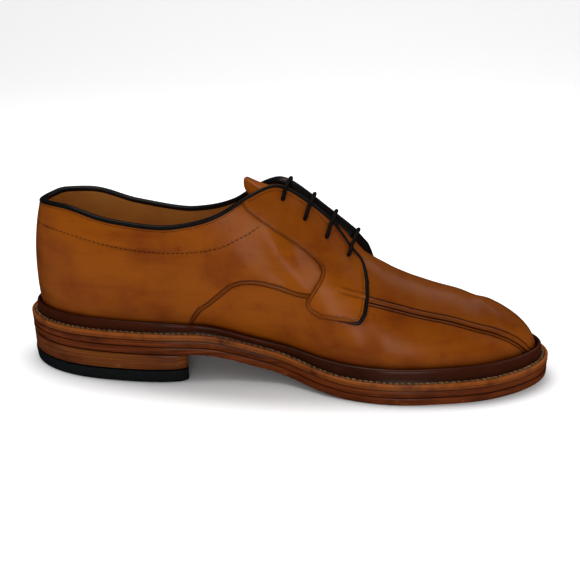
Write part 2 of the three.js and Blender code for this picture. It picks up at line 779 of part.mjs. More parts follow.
function makeTongue() {
  const outerOffset = -(wallThickness + tongueGap);
  const innerOffset = outerOffset - tongueThickness;
  const covered = [0.695, 0.68, 0.665, 0.65, 0.63, 0.61, 0.59, 0.57, 0.55, 0.53, 0.51];
  const sections = (offset) => covered.map((share) => tongueSection(share, offset));
  const outerGrid = sections(outerOffset);
  const innerGrid = sections(innerOffset);
  const freeSteps = 3;
  const narrowing = 0.2;
  const flattening = 0.4;
  const instepRun = new THREE.Vector3(-0.91, 0, 0.41);
  const middle = Math.floor(outerGrid[0].length / 2);
  for (const grid of [outerGrid, innerGrid]) {
    const root = grid[grid.length - 1];
    for (let step = 1; step <= freeSteps; step += 1) {
      const share = step / freeSteps;
      grid.push(root.map((point) => {
        const crest = root[middle];
        const moved = point.clone().sub(crest);
        moved.y *= 1 - narrowing * share;
        moved.z *= 1 - flattening * share;
        return moved.add(crest).addScaledVector(instepRun, tongueFreeLength * share);
      }));
    }
  }
  return gridSolid(outerGrid, innerGrid);
}

// A closed sheet between two grids of the same size
function gridSolid(outerGrid, innerGrid) {
  const triangles = [];
  const lastColumn = outerGrid.length - 1;
  const lastRow = outerGrid[0].length - 1;
  for (let column = 0; column < lastColumn; column += 1) {
    for (let row = 0; row < lastRow; row += 1) {
      quad(triangles, outerGrid[column][row], outerGrid[column + 1][row], outerGrid[column + 1][row + 1],
        outerGrid[column][row + 1]);
      quad(triangles, innerGrid[column][row], innerGrid[column][row + 1], innerGrid[column + 1][row + 1],
        innerGrid[column + 1][row]);
    }
    quad(triangles, outerGrid[column][0], innerGrid[column][0], innerGrid[column + 1][0],
      outerGrid[column + 1][0]);
    quad(triangles, outerGrid[column][lastRow], outerGrid[column + 1][lastRow],
      innerGrid[column + 1][lastRow], innerGrid[column][lastRow]);
  }
  for (let row = 0; row < lastRow; row += 1) {
    quad(triangles, outerGrid[0][row], outerGrid[0][row + 1], innerGrid[0][row + 1], innerGrid[0][row]);
    quad(triangles, outerGrid[lastColumn][row], innerGrid[lastColumn][row],
      innerGrid[lastColumn][row + 1], outerGrid[lastColumn][row + 1]);
  }
  return closedMesh(triangles);
}

// A tube along a list of points, closed at both ends. Each ring has its own half width and half height.
function sweptTube(rings, sides) {
  const loops = rings.map((ring) => {
    const loop = [];
    for (let side = 0; side < sides; side += 1) {
      const angle = 2 * Math.PI * (side + 0.5) / sides;
      const corner = ring.centre.clone();
      corner.addScaledVector(ring.across, ring.halfWidth * Math.cos(angle));
      corner.addScaledVector(ring.up, ring.halfHeight * Math.sin(angle));
      loop.push(corner);
    }
    return loop;
  });
  const triangles = [];
  for (let ring = 1; ring < loops.length; ring += 1) {
    bandBetween(triangles, loops[ring - 1], loops[ring]);
  }
  for (let side = 1; side < sides - 1; side += 1) {
    const end = loops[loops.length - 1];
    triangles.push([loops[0][0], loops[0][side + 1], loops[0][side]]);
    triangles.push([end[0], end[side], end[side + 1]]);
  }
  return closedMesh(triangles);
}

// Frame of the upper's rim at one turn: its middle, the way across the wall and the way off its edge
function rimRing(turn) {
  const share = shareAt(turn);
  const across = lastOutward(turn, 1);
  const edge = lastPoint(turn, 1);
  const up = edge.clone().sub(lastPoint(turn, 0.97)).normalize();
  const facing = THREE.MathUtils.smoothstep(share, eyestayBack - 0.01, eyestayBack + 0.03);
  const outerSide = quarterStep + facing * (seatGap + eyestayThickness);
  const halfWidth = (wallThickness + outerSide) / 2 + bindingLap;
  const halfHeight = bindingThickness / 2;
  const centre = edge.addScaledVector(across, (outerSide - wallThickness) / 2);
  centre.addScaledVector(up, halfHeight + seatGap);
  return { centre, across, up, halfWidth, halfHeight };
}

// The folded edge that runs down one facing, round the collar and up the other facing
function makeBinding() {
  const shares = shareStops.filter((share) => share < bindingEnd);
  const medial = shares.map((share) => turnAt(share, 'medial'));
  const lateral = medial.slice(1).reverse().map((turn) => -turn);
  return sweptTube([...lateral, ...medial].map(rimRing), 8);
}

// One bar of the lace: over a facing from its eyelet, across the throat and over the other facing
function makeLaceBar(row) {
  const radius = laceDiameter / 2;
  const clear = quarterStep + 2 * seatGap + eyestayThickness + radius + laceRoom;
  const halfOf = (side) => {
    const turn = turnAt(row.at, side);
    return [
      formPoint(turn, row.height - 0.01, clear),
      formPoint(turn, (row.height + 1) / 2, clear + bindingLap / 2),
      formPoint(turn, 1, clear + 2 * bindingLap),
    ];
  };
  const half = halfOf('medial');
  const otherHalf = halfOf('lateral').reverse();
  const middle = half[2].clone().lerp(otherHalf[0], 0.5);
  middle.z += bindingThickness / 2;
  const path = new THREE.CatmullRomCurve3([...half, middle, ...otherHalf], false, 'centripetal');
  const steps = 12;
  const forward = new THREE.Vector3(1, 0, -0.7).normalize();
  const rings = [];
  for (let step = 0; step <= steps; step += 1) {
    const centre = path.getPointAt(step / steps);
    const along = path.getTangentAt(step / steps);
    const up = along.clone().cross(forward).normalize();
    rings.push({ centre, across: up.clone().cross(along), up, halfWidth: radius, halfHeight: radius });
  }
  return sweptTube(rings, 8);
}

const materials = {
  calf: { color: 0xb4641e, roughness: 0.42, metalness: 0 },
  edge: { color: 0x1c1a1a, roughness: 0.5, metalness: 0 },
  lace: { color: 0x151414, roughness: 0.75, metalness: 0 },
  welt: { color: 0x4a2a1c, roughness: 0.55, metalness: 0 },
  midsole: { color: 0x7a4222, roughness: 0.5, metalness: 0 },
  outsole: { color: 0x8c5026, roughness: 0.5, metalness: 0 },
  lifts: { color: 0xa0602c, roughness: 0.5, metalness: 0 },
  rubber: { color: 0x1b1d21, roughness: 0.7, metalness: 0 },
  insole: { color: 0xc08a4c, roughness: 0.6, metalness: 0 },
};

const shoe = new THREE.Group();

function addPiece(name, geometry, finish) {
  const mesh = new THREE.Mesh(geometry, new THREE.MeshStandardMaterial(materials[finish]));
  mesh.name = name;
  shoe.add(mesh);
}

addPiece('outsole', makeOutsole(), 'outsole');
addPiece('midsole', makeMidsole(), 'midsole');
addPiece('storm_welt', makeWelt(), 'welt');
addPiece('top_lift', makeTopLift(), 'rubber');
addPiece('heel_lifts', makeHeelLifts(), 'lifts');
addPiece('insole', makeInsole(), 'insole');
addPiece('upper', makeUpper(), 'calf');
addPiece('tongue', makeTongue(), 'calf');
addPiece('eyestay_medial', makeEyestay('medial'), 'calf');
addPiece('eyestay_lateral', makeEyestay('lateral'), 'calf');
addPiece('binding', makeBinding(), 'edge');
eyeletRows.forEach((row, bar) => addPiece(`lace_bar_${bar + 1}`, makeLaceBar(row), 'lace'));

export default shoe;
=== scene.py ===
import math

import bmesh
import bpy
import numpy as np
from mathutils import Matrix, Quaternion, Vector


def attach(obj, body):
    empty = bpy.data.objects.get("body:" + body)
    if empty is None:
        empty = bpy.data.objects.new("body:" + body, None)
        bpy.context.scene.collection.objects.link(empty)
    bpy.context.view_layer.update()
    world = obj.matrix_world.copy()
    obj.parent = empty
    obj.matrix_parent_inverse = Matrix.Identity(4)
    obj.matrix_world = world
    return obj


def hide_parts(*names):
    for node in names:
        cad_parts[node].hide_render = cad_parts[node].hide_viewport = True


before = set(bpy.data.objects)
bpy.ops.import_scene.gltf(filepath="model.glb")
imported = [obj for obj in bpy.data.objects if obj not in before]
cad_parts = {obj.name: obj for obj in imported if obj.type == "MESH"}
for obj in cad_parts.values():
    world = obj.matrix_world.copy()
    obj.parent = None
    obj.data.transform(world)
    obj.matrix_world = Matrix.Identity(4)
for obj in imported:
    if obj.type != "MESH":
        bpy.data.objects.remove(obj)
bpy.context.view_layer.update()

# Left derby shoe with a bicycle toe. Shapes are worked out in millimetres, in the frame of the solids:
# +X from heel to toe, +Y to the outer side of the foot, +Z up. A mesh is turned to metres as it is made.
mm = 0.001
sides = ("medial", "lateral")

soleSizes = {
    "length": 308.0, "ballWidth": 106.0, "heelHeight": 18.6, "toeSpring": 3.0,
    "topLift": 8.4, "outsole": 4.6, "midsole": 3.8, "welt": 3.5, "insole": 3.0, "gap": 0.3,
    "featherInset": 9.0,
}
upperSizes = {
    "instepHeight": 89.0, "wall": 2.0, "quarterStep": 0.8, "throatEnd": 0.665,
}
midsoleBase = soleSizes["outsole"] + soleSizes["gap"]
weltBase = midsoleBase + soleSizes["midsole"] + soleSizes["gap"]
weltTop = weltBase + soleSizes["welt"]
upperBase = weltTop + soleSizes["gap"]

# Outline, underside, feather line and rib of the sole, by share of the sole length
outlineRows = {
    "at": (0.00, 0.05, 0.10, 0.20, 0.30, 0.40, 0.50, 0.60, 0.70, 0.80, 0.90, 1.00),
    "medial": (0.560, 0.540, 0.512, 0.441, 0.376, 0.291, 0.279, 0.392, 0.484, 0.525, 0.558, 0.560),
    "lateral": (0.480, 0.476, 0.472, 0.432, 0.398, 0.394, 0.453, 0.540, 0.602, 0.607, 0.572, 0.530),
}
bottomRows = {
    "at": (0.00, 0.27, 0.35, 0.40, 0.45, 0.50, 0.55, 0.60, 0.64, 0.72, 0.80, 0.90, 1.00),
    "heel": (1.03, 0.97, 0.90, 0.78, 0.59, 0.39, 0.20, 0.065, 0, 0, 0, 0, 0),
    "toe": (0, 0, 0, 0, 0, 0, 0, 0, 0, 0, 0.26, 0.52, 1.00),
}
featherRows = {
    "at": (0.00, 0.10, 0.30, 0.45, 0.65, 0.90, 1.00),
    "inset": (0.86, 0.93, 0.93, 0.82, 1.03, 1.00, 0.80),
    "rib": (0.97, 0.97, 0.82, 0.64, 1.00, 1.06, 1.00),
}
# Columns of the last, from the feather line to the collar, the throat or the crest of the vamp
columnRows = {
    "at": (0.000, 0.050, 0.100, 0.200, 0.300, 0.350, 0.400, 0.450, 0.500, 0.550,
           0.600, 0.640, 0.665, 0.700, 0.750, 0.800, 0.850, 0.900, 0.950, 1.000),
    "topAt": (0.051, 0.070, 0.113, 0.203, 0.300, 0.350, 0.400, 0.451, 0.502, 0.551,
              0.602, 0.641, 0.664, 0.700, 0.748, 0.793, 0.829, 0.853, 0.867, 0.871),
    "topHalf": (0.300, 0.325, 0.350, 0.322, 0.278, 0.255, 0.226, 0.166, 0.085, 0.057,
                0.048, 0.036, 0, 0, 0, 0, 0, 0, 0, 0),
    "rise": (0.746, 0.768, 0.768, 0.700, 0.668, 0.698, 0.772, 0.913, 1.008, 0.947,
             0.825, 0.705, 0.625, 0.553, 0.478, 0.422, 0.391, 0.362, 0.348, 0.336),
    "drop": (0.000, 0.006, 0.017, 0.039, 0.045, 0.045, 0.039, 0.022, 0.006, 0,
             0, 0, 0, 0, 0, 0, 0, 0, 0, 0),
    "medial": (6, 6, 7, 10, 10, 14, 20, 24, 24, 20, 18, 17, 16, 15, 14, 12, 11, 9, 6, 4),
    "lateral": (6, 6, 7, 10, 8, 6, 6, 8, 8, 8, 9, 10, 10, 11, 11, 10, 9, 8, 6, 4),
    "foot": (0.30, 0.30, 0.30, 0.32, 0.33, 0.33, 0.34, 0.35, 0.36, 0.36,
             0.36, 0.36, 0.38, 0.42, 0.46, 0.50, 0.53, 0.53, 0.52, 0.46),
    "topLean": (21, 19, 16, 10, 9, 11, 15, 26, 42, 53, 62, 70, 90, 90, 90, 90, 90, 90, 90, 90),
    "head": (0.33, 0.33, 0.33, 0.33, 0.33, 0.33, 0.33, 0.33, 0.36, 0.38,
             0.42, 0.46, 0.50, 0.55, 0.57, 0.57, 0.57, 0.55, 0.52, 0.50),
}
# Edge of the quarter over the vamp, then the bicycle seam, as a share of the column height
seamRows = {
    "at": (0.345, 0.352, 0.359, 0.366, 0.383, 0.401, 0.416, 0.430, 0.445, 0.462, 0.479, 0.497, 0.525,
           0.543, 0.563, 0.600, 0.623, 0.650, 0.676, 0.734, 0.792, 0.847, 0.896, 0.925, 0.950, 0.964,
           0.975, 0.985, 1.000),
    "height": (0.000, 0.060, 0.120, 0.182, 0.255, 0.330, 0.382, 0.414, 0.419, 0.409, 0.392, 0.376, 0.371,
               0.374, 0.390, 0.450, 0.500, 0.540, 0.562, 0.594, 0.588, 0.545, 0.490, 0.420, 0.330, 0.250,
               0.145, 0.050, 0.020),
}
# Back and front edge of the eyestay at each share of the column height
eyestayRows = {
    "at": (0.325, 0.333, 0.370, 0.420, 0.470, 0.540, 0.585, 0.613, 0.640, 0.660, 0.680, 0.700, 0.753,
           0.790, 0.843, 0.887, 0.923, 0.960, 1.000),
    "back": (0.585, 0.568, 0.562, 0.569, 0.577, 0.586, 0.589, 0.586, 0.573, 0.535, 0.508, 0.497, 0.480,
             0.472, 0.462, 0.454, 0.449, 0.445, 0.442),
    "front": (0.632, 0.650, 0.660, 0.665, 0.669, 0.671, 0.672, 0.672, 0.671, 0.671, 0.671, 0.670, 0.667,
              0.664, 0.658, 0.649, 0.631, 0.616, 0.600),
}
eyelets = ((0.511, 0.903), (0.555, 0.847), (0.592, 0.828), (0.630, 0.820))
collarRow = {
    "at": (0.020, 0.062, 0.116, 0.183, 0.252, 0.309, 0.374, 0.423, 0.454, 0.477),
    "height": (0.815, 0.803, 0.785, 0.783, 0.770, 0.767, 0.750, 0.737, 0.733, 0.750),
}


# A smooth curve through a table's column. It has no overshoot, and soften rounds its changes of bend.
def curveThrough(places, values, soften=0.0):
    x = np.array(places, float)
    y = np.array(values, float)
    step = np.diff(x)
    slope = np.diff(y) / step
    slopes = np.zeros(len(x))
    slopes[0], slopes[-1] = slope[0], slope[-1]
    for row in range(1, len(x) - 1):
        if slope[row - 1] * slope[row] > 0:
            before = 2 * step[row] + step[row - 1]
            after = step[row] + 2 * step[row - 1]
            slopes[row] = (before + after) / (before / slope[row - 1] + after / slope[row])
    grid = np.arange(x[0] - 0.2, x[-1] + 0.2, 0.0005)
    inside = np.clip(grid, x[0], x[-1])
    row = np.clip(np.searchsorted(x, inside) - 1, 0, len(x) - 2)
    t = (inside - x[row]) / step[row]
    fine = (y[row] * (2 * t**3 - 3 * t**2 + 1) + slopes[row] * step[row] * (t**3 - 2 * t**2 + t)
            + y[row + 1] * (3 * t**2 - 2 * t**3) + slopes[row + 1] * step[row] * (t**3 - t**2))
    fine += np.where(grid < x[0], slopes[0], slopes[-1]) * (grid - inside)
    if soften:
        reach = int(4 * soften / 0.0005)
        kernel = np.exp(-0.5 * (np.arange(-reach, reach + 1) * 0.0005 / soften) ** 2)
        padded = np.pad(fine, reach, mode="reflect", reflect_type="odd")
        fine = np.convolve(padded, kernel / kernel.sum(), mode="valid")
    return lambda at: np.interp(at, grid, fine)


def curvesOf(table, soften, plain=()):
    return {name: curveThrough(table["at"], values, 0.0 if name in plain else soften)
            for name, values in table.items() if name != "at"}


outline = curvesOf(outlineRows, 0.014)
bottom = curvesOf(bottomRows, 0.010)
feather = curvesOf(featherRows, 0.014)
column = curvesOf(columnRows, 0.010, plain=("topHalf",))
seamHeight = curveThrough(seamRows["at"], seamRows["height"], 0.004)
eyestayEdge = curvesOf(eyestayRows, 0.006)


def shareAt(turn):
    return (1 - np.cos(turn)) / 2


def turnAt(share, side):
    turn = np.arccos(np.clip(1 - 2 * np.asarray(share, float), -1, 1))
    return turn if side == "medial" else -turn


def smoothStep(value, low, high):
    t = np.clip((np.asarray(value, float) - low) / (high - low), 0, 1)
    return t * t * (3 - 2 * t)


def unit(vectors):
    return vectors / np.maximum(np.linalg.norm(vectors, axis=-1, keepdims=True), 1e-9)


def stacked(*parts):
    return np.stack(parts, axis=-1)


def bell(value, at, width, power=2):
    return np.exp(-((value - at) / width) ** power)


def bells(value, rows):
    return sum(strength * bell(value, *form) for strength, *form in rows)


def lengthsOf(line):
    return np.concatenate([[0], np.cumsum(np.linalg.norm(np.diff(line, axis=0), axis=1))])


def bySide(turn, curves, share):
    return np.where(np.sin(turn) >= 0, curves["medial"](share), curves["lateral"](share))


def halfWidth(turn):
    return soleSizes["ballWidth"] * bySide(turn, outline, shareAt(turn)) * np.sin(turn)


halves = halfWidth(np.linspace(-math.pi, math.pi, 801))
axisShift = (-halves.min() - halves.max()) / 2


def edgeFlat(turn):
    return stacked(soleSizes["length"] * (shareAt(turn) - 0.5), -halfWidth(turn) - axisShift)


def edgeOut(turn):
    along = unit(edgeFlat(turn + 0.02) - edgeFlat(turn - 0.02))
    return stacked(along[..., 1], -along[..., 0])


def insetFlat(turn, inset):
    return edgeFlat(turn) - edgeOut(turn) * np.expand_dims(inset * np.ones(np.shape(turn)), -1)


def underside(x):
    share = x / soleSizes["length"] + 0.5
    return soleSizes["heelHeight"] * bottom["heel"](share) + soleSizes["toeSpring"] * bottom["toe"](share)


def solePoint(turn, inset, lift):
    flat = insetFlat(turn, inset)
    return np.concatenate([flat, (underside(flat[..., 0]) + lift)[..., None]], axis=-1)


def featherInset(turn):
    return soleSizes["featherInset"] * feather["inset"](shareAt(turn))


def topPoint(turn):
    share = shareAt(turn)
    drop = np.where(np.sin(turn) >= 0, 0, column["drop"](share))
    half = soleSizes["ballWidth"] * np.where(share >= 0.665, 0, column["topHalf"](share)) * np.sin(turn)
    base = underside(soleSizes["length"] * (share - 0.5)) + upperBase
    height = base + upperSizes["instepHeight"] * (column["rise"](share) - drop)
    return stacked(soleSizes["length"] * (column["topAt"](share) - 0.5), -half - axisShift, height)


def crestSlope(turn):
    share = np.clip(shareAt(turn), 0.67, 0.985)
    ahead = topPoint(turnAt(share + 0.004, "medial"))
    behind = topPoint(turnAt(share - 0.004, "medial"))
    return (ahead[..., 2] - behind[..., 2]) / (ahead[..., 0] - behind[..., 0])


def leanAt(turn):
    return np.radians(bySide(turn, column, shareAt(turn)))


# Point of the last: turn runs round the shoe, height from the feather line to the top of the column
def lastAt(turn, height):
    turn, height = np.broadcast_arrays(np.asarray(turn, float), np.asarray(height, float))
    share = shareAt(turn)
    outward = edgeOut(turn)
    foot = solePoint(turn, featherInset(turn), upperBase)
    top = topPoint(turn)
    rise = top[..., 2] - foot[..., 2]
    lean = leanAt(turn)
    topLean = np.radians(column["topLean"](share))
    upright = stacked(outward[..., 0] * np.sin(lean), outward[..., 1] * np.sin(lean), np.cos(lean))
    lower = foot + upright * (column["foot"](share) * rise)[..., None]
    reach = np.maximum(np.hypot(foot[..., 0] - top[..., 0], foot[..., 1] - top[..., 1]), 8)
    fall = outward[..., 0] * np.sin(topLean) * crestSlope(turn) * np.clip((share - 0.6) / 0.1, 0, 1)
    downward = stacked(outward[..., 0] * np.sin(topLean), outward[..., 1] * np.sin(topLean),
                         fall - np.cos(topLean))
    span = np.sin(topLean) ** 2 * reach + np.cos(topLean) ** 2 * rise
    upper = top + downward * (column["head"](share) * span)[..., None]
    t = height[..., None]
    return (1 - t) ** 3 * foot + 3 * t * (1 - t) ** 2 * lower + 3 * t * t * (1 - t) * upper + t**3 * top


def outwardAt(turn, height):
    turn, height = np.broadcast_arrays(np.asarray(turn, float), np.asarray(height, float))
    inside = np.clip(height, 0.01, 0.97)
    along = lastAt(turn + 0.015, inside) - lastAt(turn - 0.015, inside)
    up = lastAt(turn, inside + 0.015) - lastAt(turn, inside - 0.015)
    normal = unit(np.cross(along, up))
    slope = crestSlope(turn)
    crest = unit(stacked(-slope, np.zeros_like(slope), np.ones_like(slope)))
    beyondThroat = shareAt(turn) >= upperSizes["throatEnd"] - 1e-4
    onCrest = np.where(beyondThroat, np.clip((height - 0.97) / 0.03, 0, 1), 0)
    return unit(normal * (1 - onCrest[..., None]) + crest * onCrest[..., None])


def formAt(turn, height, lift):
    lift = np.asarray(lift, float)
    return lastAt(turn, height) + outwardAt(turn, height) * lift[..., None]


# Heights of the rows of each column from distances in mm along it
def columnLengths(turns):
    heights = np.linspace(0, 1, 181)
    points = lastAt(turns[:, None], heights[None, :])
    steps = np.linalg.norm(np.diff(points, axis=1), axis=-1)
    return heights, np.concatenate([np.zeros((len(turns), 1)), np.cumsum(steps, axis=1)], axis=1)


def lengthAt(heights, lengths, height):
    return np.array([np.interp(value, heights, row) for value, row in zip(height, lengths)])


def heightAt(heights, lengths, distance):
    return np.array([np.interp(value, row, heights) for value, row in zip(distance, lengths)])


# Distances from start to end: close rows at both ends at the offsets given, even ones between them
def spread(start, end, low, high, count):
    low, high = np.array(low, float), np.array(high, float)
    room = end - start
    squeeze = np.minimum(1, room / (low[-1] + high[-1] + 1.0))
    first = start[:, None] + low[None, :] * squeeze[:, None]
    last = end[:, None] - high[None, ::-1] * squeeze[:, None]
    share = np.linspace(0, 1, count + 2)[1:-1]
    middle = first[:, -1:] * (1 - share) + last[:, :1] * share
    return np.concatenate([first, middle, last], axis=1)


def evenShares(low, high, spacing, marks=()):
    turns = np.linspace(turnAt(low, "medial"), turnAt(high, "medial"), 4001)
    share = shareAt(turns)
    measure = 0.55 * (share - low) / max(high - low, 1e-6)
    measure = measure + 0.45 * (turns - turns[0]) / (turns[-1] - turns[0])
    count = max(2, int(round((high - low) * soleSizes["length"] * 1.15 / spacing)))
    picked = list(np.interp(np.linspace(0, 1, count + 1), measure, share))
    for mark in marks:
        nearest = min(range(len(picked)), key=lambda place: abs(picked[place] - mark))
        picked[nearest] = mark
    return np.array(picked)


print("shapes of the last ready")


# Meshes: one piece each, closed, with its values kept on the points for the materials
def addObject(name, data):
    made = bpy.data.objects.new(name, data)
    bpy.context.scene.collection.objects.link(made)
    return made


def addPiece(name, points, faces, finish, replaced=(), values=None, crease=40):
    mesh = bpy.data.meshes.new(name)
    mesh.from_pydata((np.asarray(points) * mm).tolist(), [], faces)
    for key, numbers in (values or {}).items():
        layer = mesh.attributes.new(key, "FLOAT", "POINT")
        layer.data.foreach_set("value", np.asarray(numbers, np.float32).ravel())
    shell = bmesh.new()
    shell.from_mesh(mesh)
    bmesh.ops.remove_doubles(shell, verts=shell.verts, dist=1e-6)
    bmesh.ops.dissolve_degenerate(shell, edges=shell.edges, dist=1e-7)
    bmesh.ops.recalc_face_normals(shell, faces=shell.faces)
    shell.to_mesh(mesh)
    shell.free()
    placeMesh(name, mesh, finish, replaced, crease)


def placeMesh(name, mesh, finish, replaced=(), crease=40):
    mesh.shade_smooth()
    if crease < 180:
        mesh.set_sharp_from_angle(angle=math.radians(crease))
    piece = addObject(name, mesh)
    mesh.materials.clear()
    mesh.materials.append(finish)
    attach(piece, "root")
    if replaced:
        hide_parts(*replaced)


# A closed sheet from an outer and an inner grid of points. joined marks columns whose top edges meet.
def closedSheet(outer, inner, joined=None):
    columns, rows = outer.shape[:2]
    top = np.arange(columns * rows).reshape(columns, rows)
    under = top + columns * rows
    a, b, c, d = top[:-1, :-1], top[1:, :-1], top[1:, 1:], top[:-1, 1:]
    faces = stacked(a, b, c, d).reshape(-1, 4).tolist()
    a, b, c, d = under[:-1, :-1], under[:-1, 1:], under[1:, 1:], under[1:, :-1]
    faces += stacked(a, b, c, d).reshape(-1, 4).tolist()
    for place in range(columns - 1):
        faces.append((top[place, 0], under[place, 0], under[place + 1, 0], top[place + 1, 0]))
        if joined is None or not (joined[place] and joined[place + 1]):
            faces.append((top[place, -1], top[place + 1, -1], under[place + 1, -1], under[place, -1]))
    for place in range(rows - 1):
        faces.append((top[0, place], top[0, place + 1], under[0, place + 1], under[0, place]))
        faces.append((top[-1, place], under[-1, place], under[-1, place + 1], top[-1, place + 1]))
    points = np.concatenate([outer.reshape(-1, 3), inner.reshape(-1, 3)])
    return points, faces


# A piece from an outer and an inner grid of points, with the same burnish and painted shade on both
def addSheet(name, outer, inner, finish, replaced, burnAndShade, joined=None):
    points, faces = closedSheet(outer, inner, joined)
    burnAndShade = np.broadcast_to(burnAndShade, outer.shape[:2])
    addPiece(name, points, faces, finish, (replaced,), {"burnishAndShade": np.stack([burnAndShade, burnAndShade])})


# A ring of cross-sections round the shoe, or a tube with closed ends
def sweptLoops(loops, ring=False):
    count, around = loops.shape[:2]
    index = np.arange(count * around).reshape(count, around)
    ahead = np.roll(index, -1, axis=0) if ring else index[1:]
    here = index if ring else index[:-1]
    quads = stacked(here, ahead, np.roll(ahead, -1, axis=1), np.roll(here, -1, axis=1))
    faces = quads.reshape(-1, 4).tolist()
    if not ring:
        faces.append(index[0].tolist())
        faces.append(index[-1][::-1].tolist())
    return loops.reshape(-1, 3), faces


def beadLoops(centres, across, up, halfWide, halfHigh, around=14, squareness=0.8):
    angle = np.linspace(0, 2 * math.pi, around, endpoint=False)
    wide = np.sign(np.cos(angle)) * np.abs(np.cos(angle)) ** squareness
    high = np.sign(np.sin(angle)) * np.abs(np.sin(angle)) ** squareness
    halfWide = np.broadcast_to(halfWide, len(centres))[:, None, None]
    halfHigh = np.broadcast_to(halfHigh, len(centres))[:, None, None]
    return (centres[:, None, :] + across[:, None, :] * wide[None, :, None] * halfWide
            + up[:, None, :] * high[None, :, None] * halfHigh)


def resample(points, spacing=None, count=None):
    lengths = lengthsOf(points)
    count = count or max(2, int(round(lengths[-1] / spacing)) + 1)
    even = np.linspace(0, lengths[-1], count)
    return np.stack([np.interp(even, lengths, points[:, axis]) for axis in range(points.shape[1])], axis=-1)


def smoothPath(points, count):
    points = np.asarray(points, float)
    padded = np.concatenate([2 * points[:1] - points[1:2], points, 2 * points[-1:] - points[-2:-1]])
    made = []
    for place in range(len(points) - 1):
        p0, p1, p2, p3 = padded[place:place + 4]
        t = np.linspace(0, 1, 24, endpoint=False)[:, None]
        made.append(0.5 * (2 * p1 + (p2 - p0) * t + (2 * p0 - 5 * p1 + 4 * p2 - p3) * t**2
                           + (3 * p1 - p0 - 3 * p2 + p3) * t**3))
    made.append(points[-1:])
    return resample(np.concatenate(made), count=count)


# Materials. The nodes of a tree lie in rows of six, in the order in which they are made.
def nodeIn(tree, kind, inputs=(), **settings):
    node = tree.nodes.new(kind)
    order = len(tree.nodes)
    node.location = (220 * (order % 6), -320 * (order // 6))
    for key, value in settings.items():
        setattr(node, key, value)
    for key, value in dict(inputs).items():
        if isinstance(value, bpy.types.NodeSocket):
            tree.links.new(value, node.inputs[key])
        else:
            node.inputs[key].default_value = value
    return node


def newGroup(name, result, **inputs):
    group = bpy.data.node_groups.new(name, "ShaderNodeTree")
    for label, value in inputs.items():
        socket = group.interface.new_socket(label.replace("_", " "), in_out="INPUT",
                                            socket_type="NodeSocketFloat")
        socket.default_value = value
    group.interface.new_socket(result, in_out="OUTPUT", socket_type="NodeSocketFloat")
    return group, nodeIn(group, "NodeGroupInput").outputs


def mathIn(tree, operation, *values):
    return nodeIn(tree, "ShaderNodeMath", enumerate(values), operation=operation).outputs[0]


def mixIn(tree, factor, first, second):
    return nodeIn(tree, "ShaderNodeMix", {0: factor, 6: first, 7: second}, data_type="RGBA").outputs[2]


def stretchIn(tree, value, low, high):
    return nodeIn(tree, "ShaderNodeMapRange", {0: value, 1: low, 2: high},
                  interpolation_type="SMOOTHSTEP").outputs[0]


def noiseIn(tree, scale, detail=3.0, rough=0.5, stretch=(1, 1, 1), offset=(0, 0, 0)):
    coords = nodeIn(tree, "ShaderNodeTexCoord").outputs["Object"]
    moved = nodeIn(tree, "ShaderNodeMapping", {"Vector": coords, "Scale": stretch, "Location": offset})
    return nodeIn(tree, "ShaderNodeTexNoise", {"Vector": moved.outputs[0], "Scale": scale, "Detail": detail,
                                               "Roughness": rough}).outputs[0]


# Leather grain: fine pebbles with pores between them, and slow waves, as a height
def makeGrainGroup():
    group, given = newGroup("leather grain", "Height", Pebbles_per_metre=1500.0, Pore_depth=0.5,
                            Wave_depth=0.4)
    coords = nodeIn(group, "ShaderNodeTexCoord").outputs["Object"]
    pebbles = nodeIn(group, "ShaderNodeTexVoronoi", {"Vector": coords, "Scale": given[0], "Randomness": 1.0},
                     feature="F1")
    pores = mathIn(group, "MULTIPLY", pebbles.outputs["Distance"], -0.7)
    both = mathIn(group, "ADD", pores, mathIn(group, "MULTIPLY", noiseIn(group, 2600.0, 4.0, 0.6), 0.6))
    waves = mathIn(group, "MULTIPLY", noiseIn(group, 90.0), given[2])
    total = mathIn(group, "ADD", mathIn(group, "MULTIPLY", both, given[1]), waves)
    nodeIn(group, "NodeGroupOutput", {0: total})
    return group


# Uneven dye: soft clouds, brushed streaks along the shoe and small spots, as a share of the dark tone
dyeLayers = (
    (26.0, 4.0, 0.55, (1, 1, 1), (0, 0, 0), 0.40, 0.72),
    (60.0, 4.0, 0.6, (0.35, 1, 1.6), (0, 0, 0), 0.45, 0.75),
    (190.0, 3.0, 0.5, (1, 1, 1), (3, 1, 2), 0.60, 0.78),
)


def makeBurnishGroup():
    group, given = newGroup("uneven dye", "Shade", Clouds=0.5, Streaks=0.3, Spots=0.3)
    total = 0.0
    for (*noise, low, high), amount in zip(dyeLayers, given):
        layer = stretchIn(group, noiseIn(group, *noise), low, high)
        total = mathIn(group, "ADD", total, mathIn(group, "MULTIPLY", layer, amount))
    nodeIn(group, "NodeGroupOutput", {0: total})
    return group


grainGroup = makeGrainGroup()
burnishGroup = makeBurnishGroup()


def groupIn(tree, group, **values):
    named = {label.replace("_", " "): value for label, value in values.items()}
    return nodeIn(tree, "ShaderNodeGroup", named, node_tree=group).outputs[0]


def valueOnPoints(tree, name):
    node = nodeIn(tree, "ShaderNodeAttribute", attribute_name=name, attribute_type="GEOMETRY")
    return mathIn(tree, "MINIMUM", node.outputs["Fac"], 1.0)


def newMaterial(name, roughness, coat=0.0, coatRoughness=0.2, specular=0.08):
    material = bpy.data.materials.new(name)
    material.use_nodes = True
    shader = material.node_tree.nodes["Principled BSDF"]
    for key, value in (("Roughness", roughness), ("Coat Weight", coat), ("Coat Roughness", coatRoughness),
                       ("Specular IOR Level", specular), ("Specular Tint", (1.0, 0.70, 0.42, 1))):
        shader.inputs[key].default_value = value
    return material, material.node_tree, shader


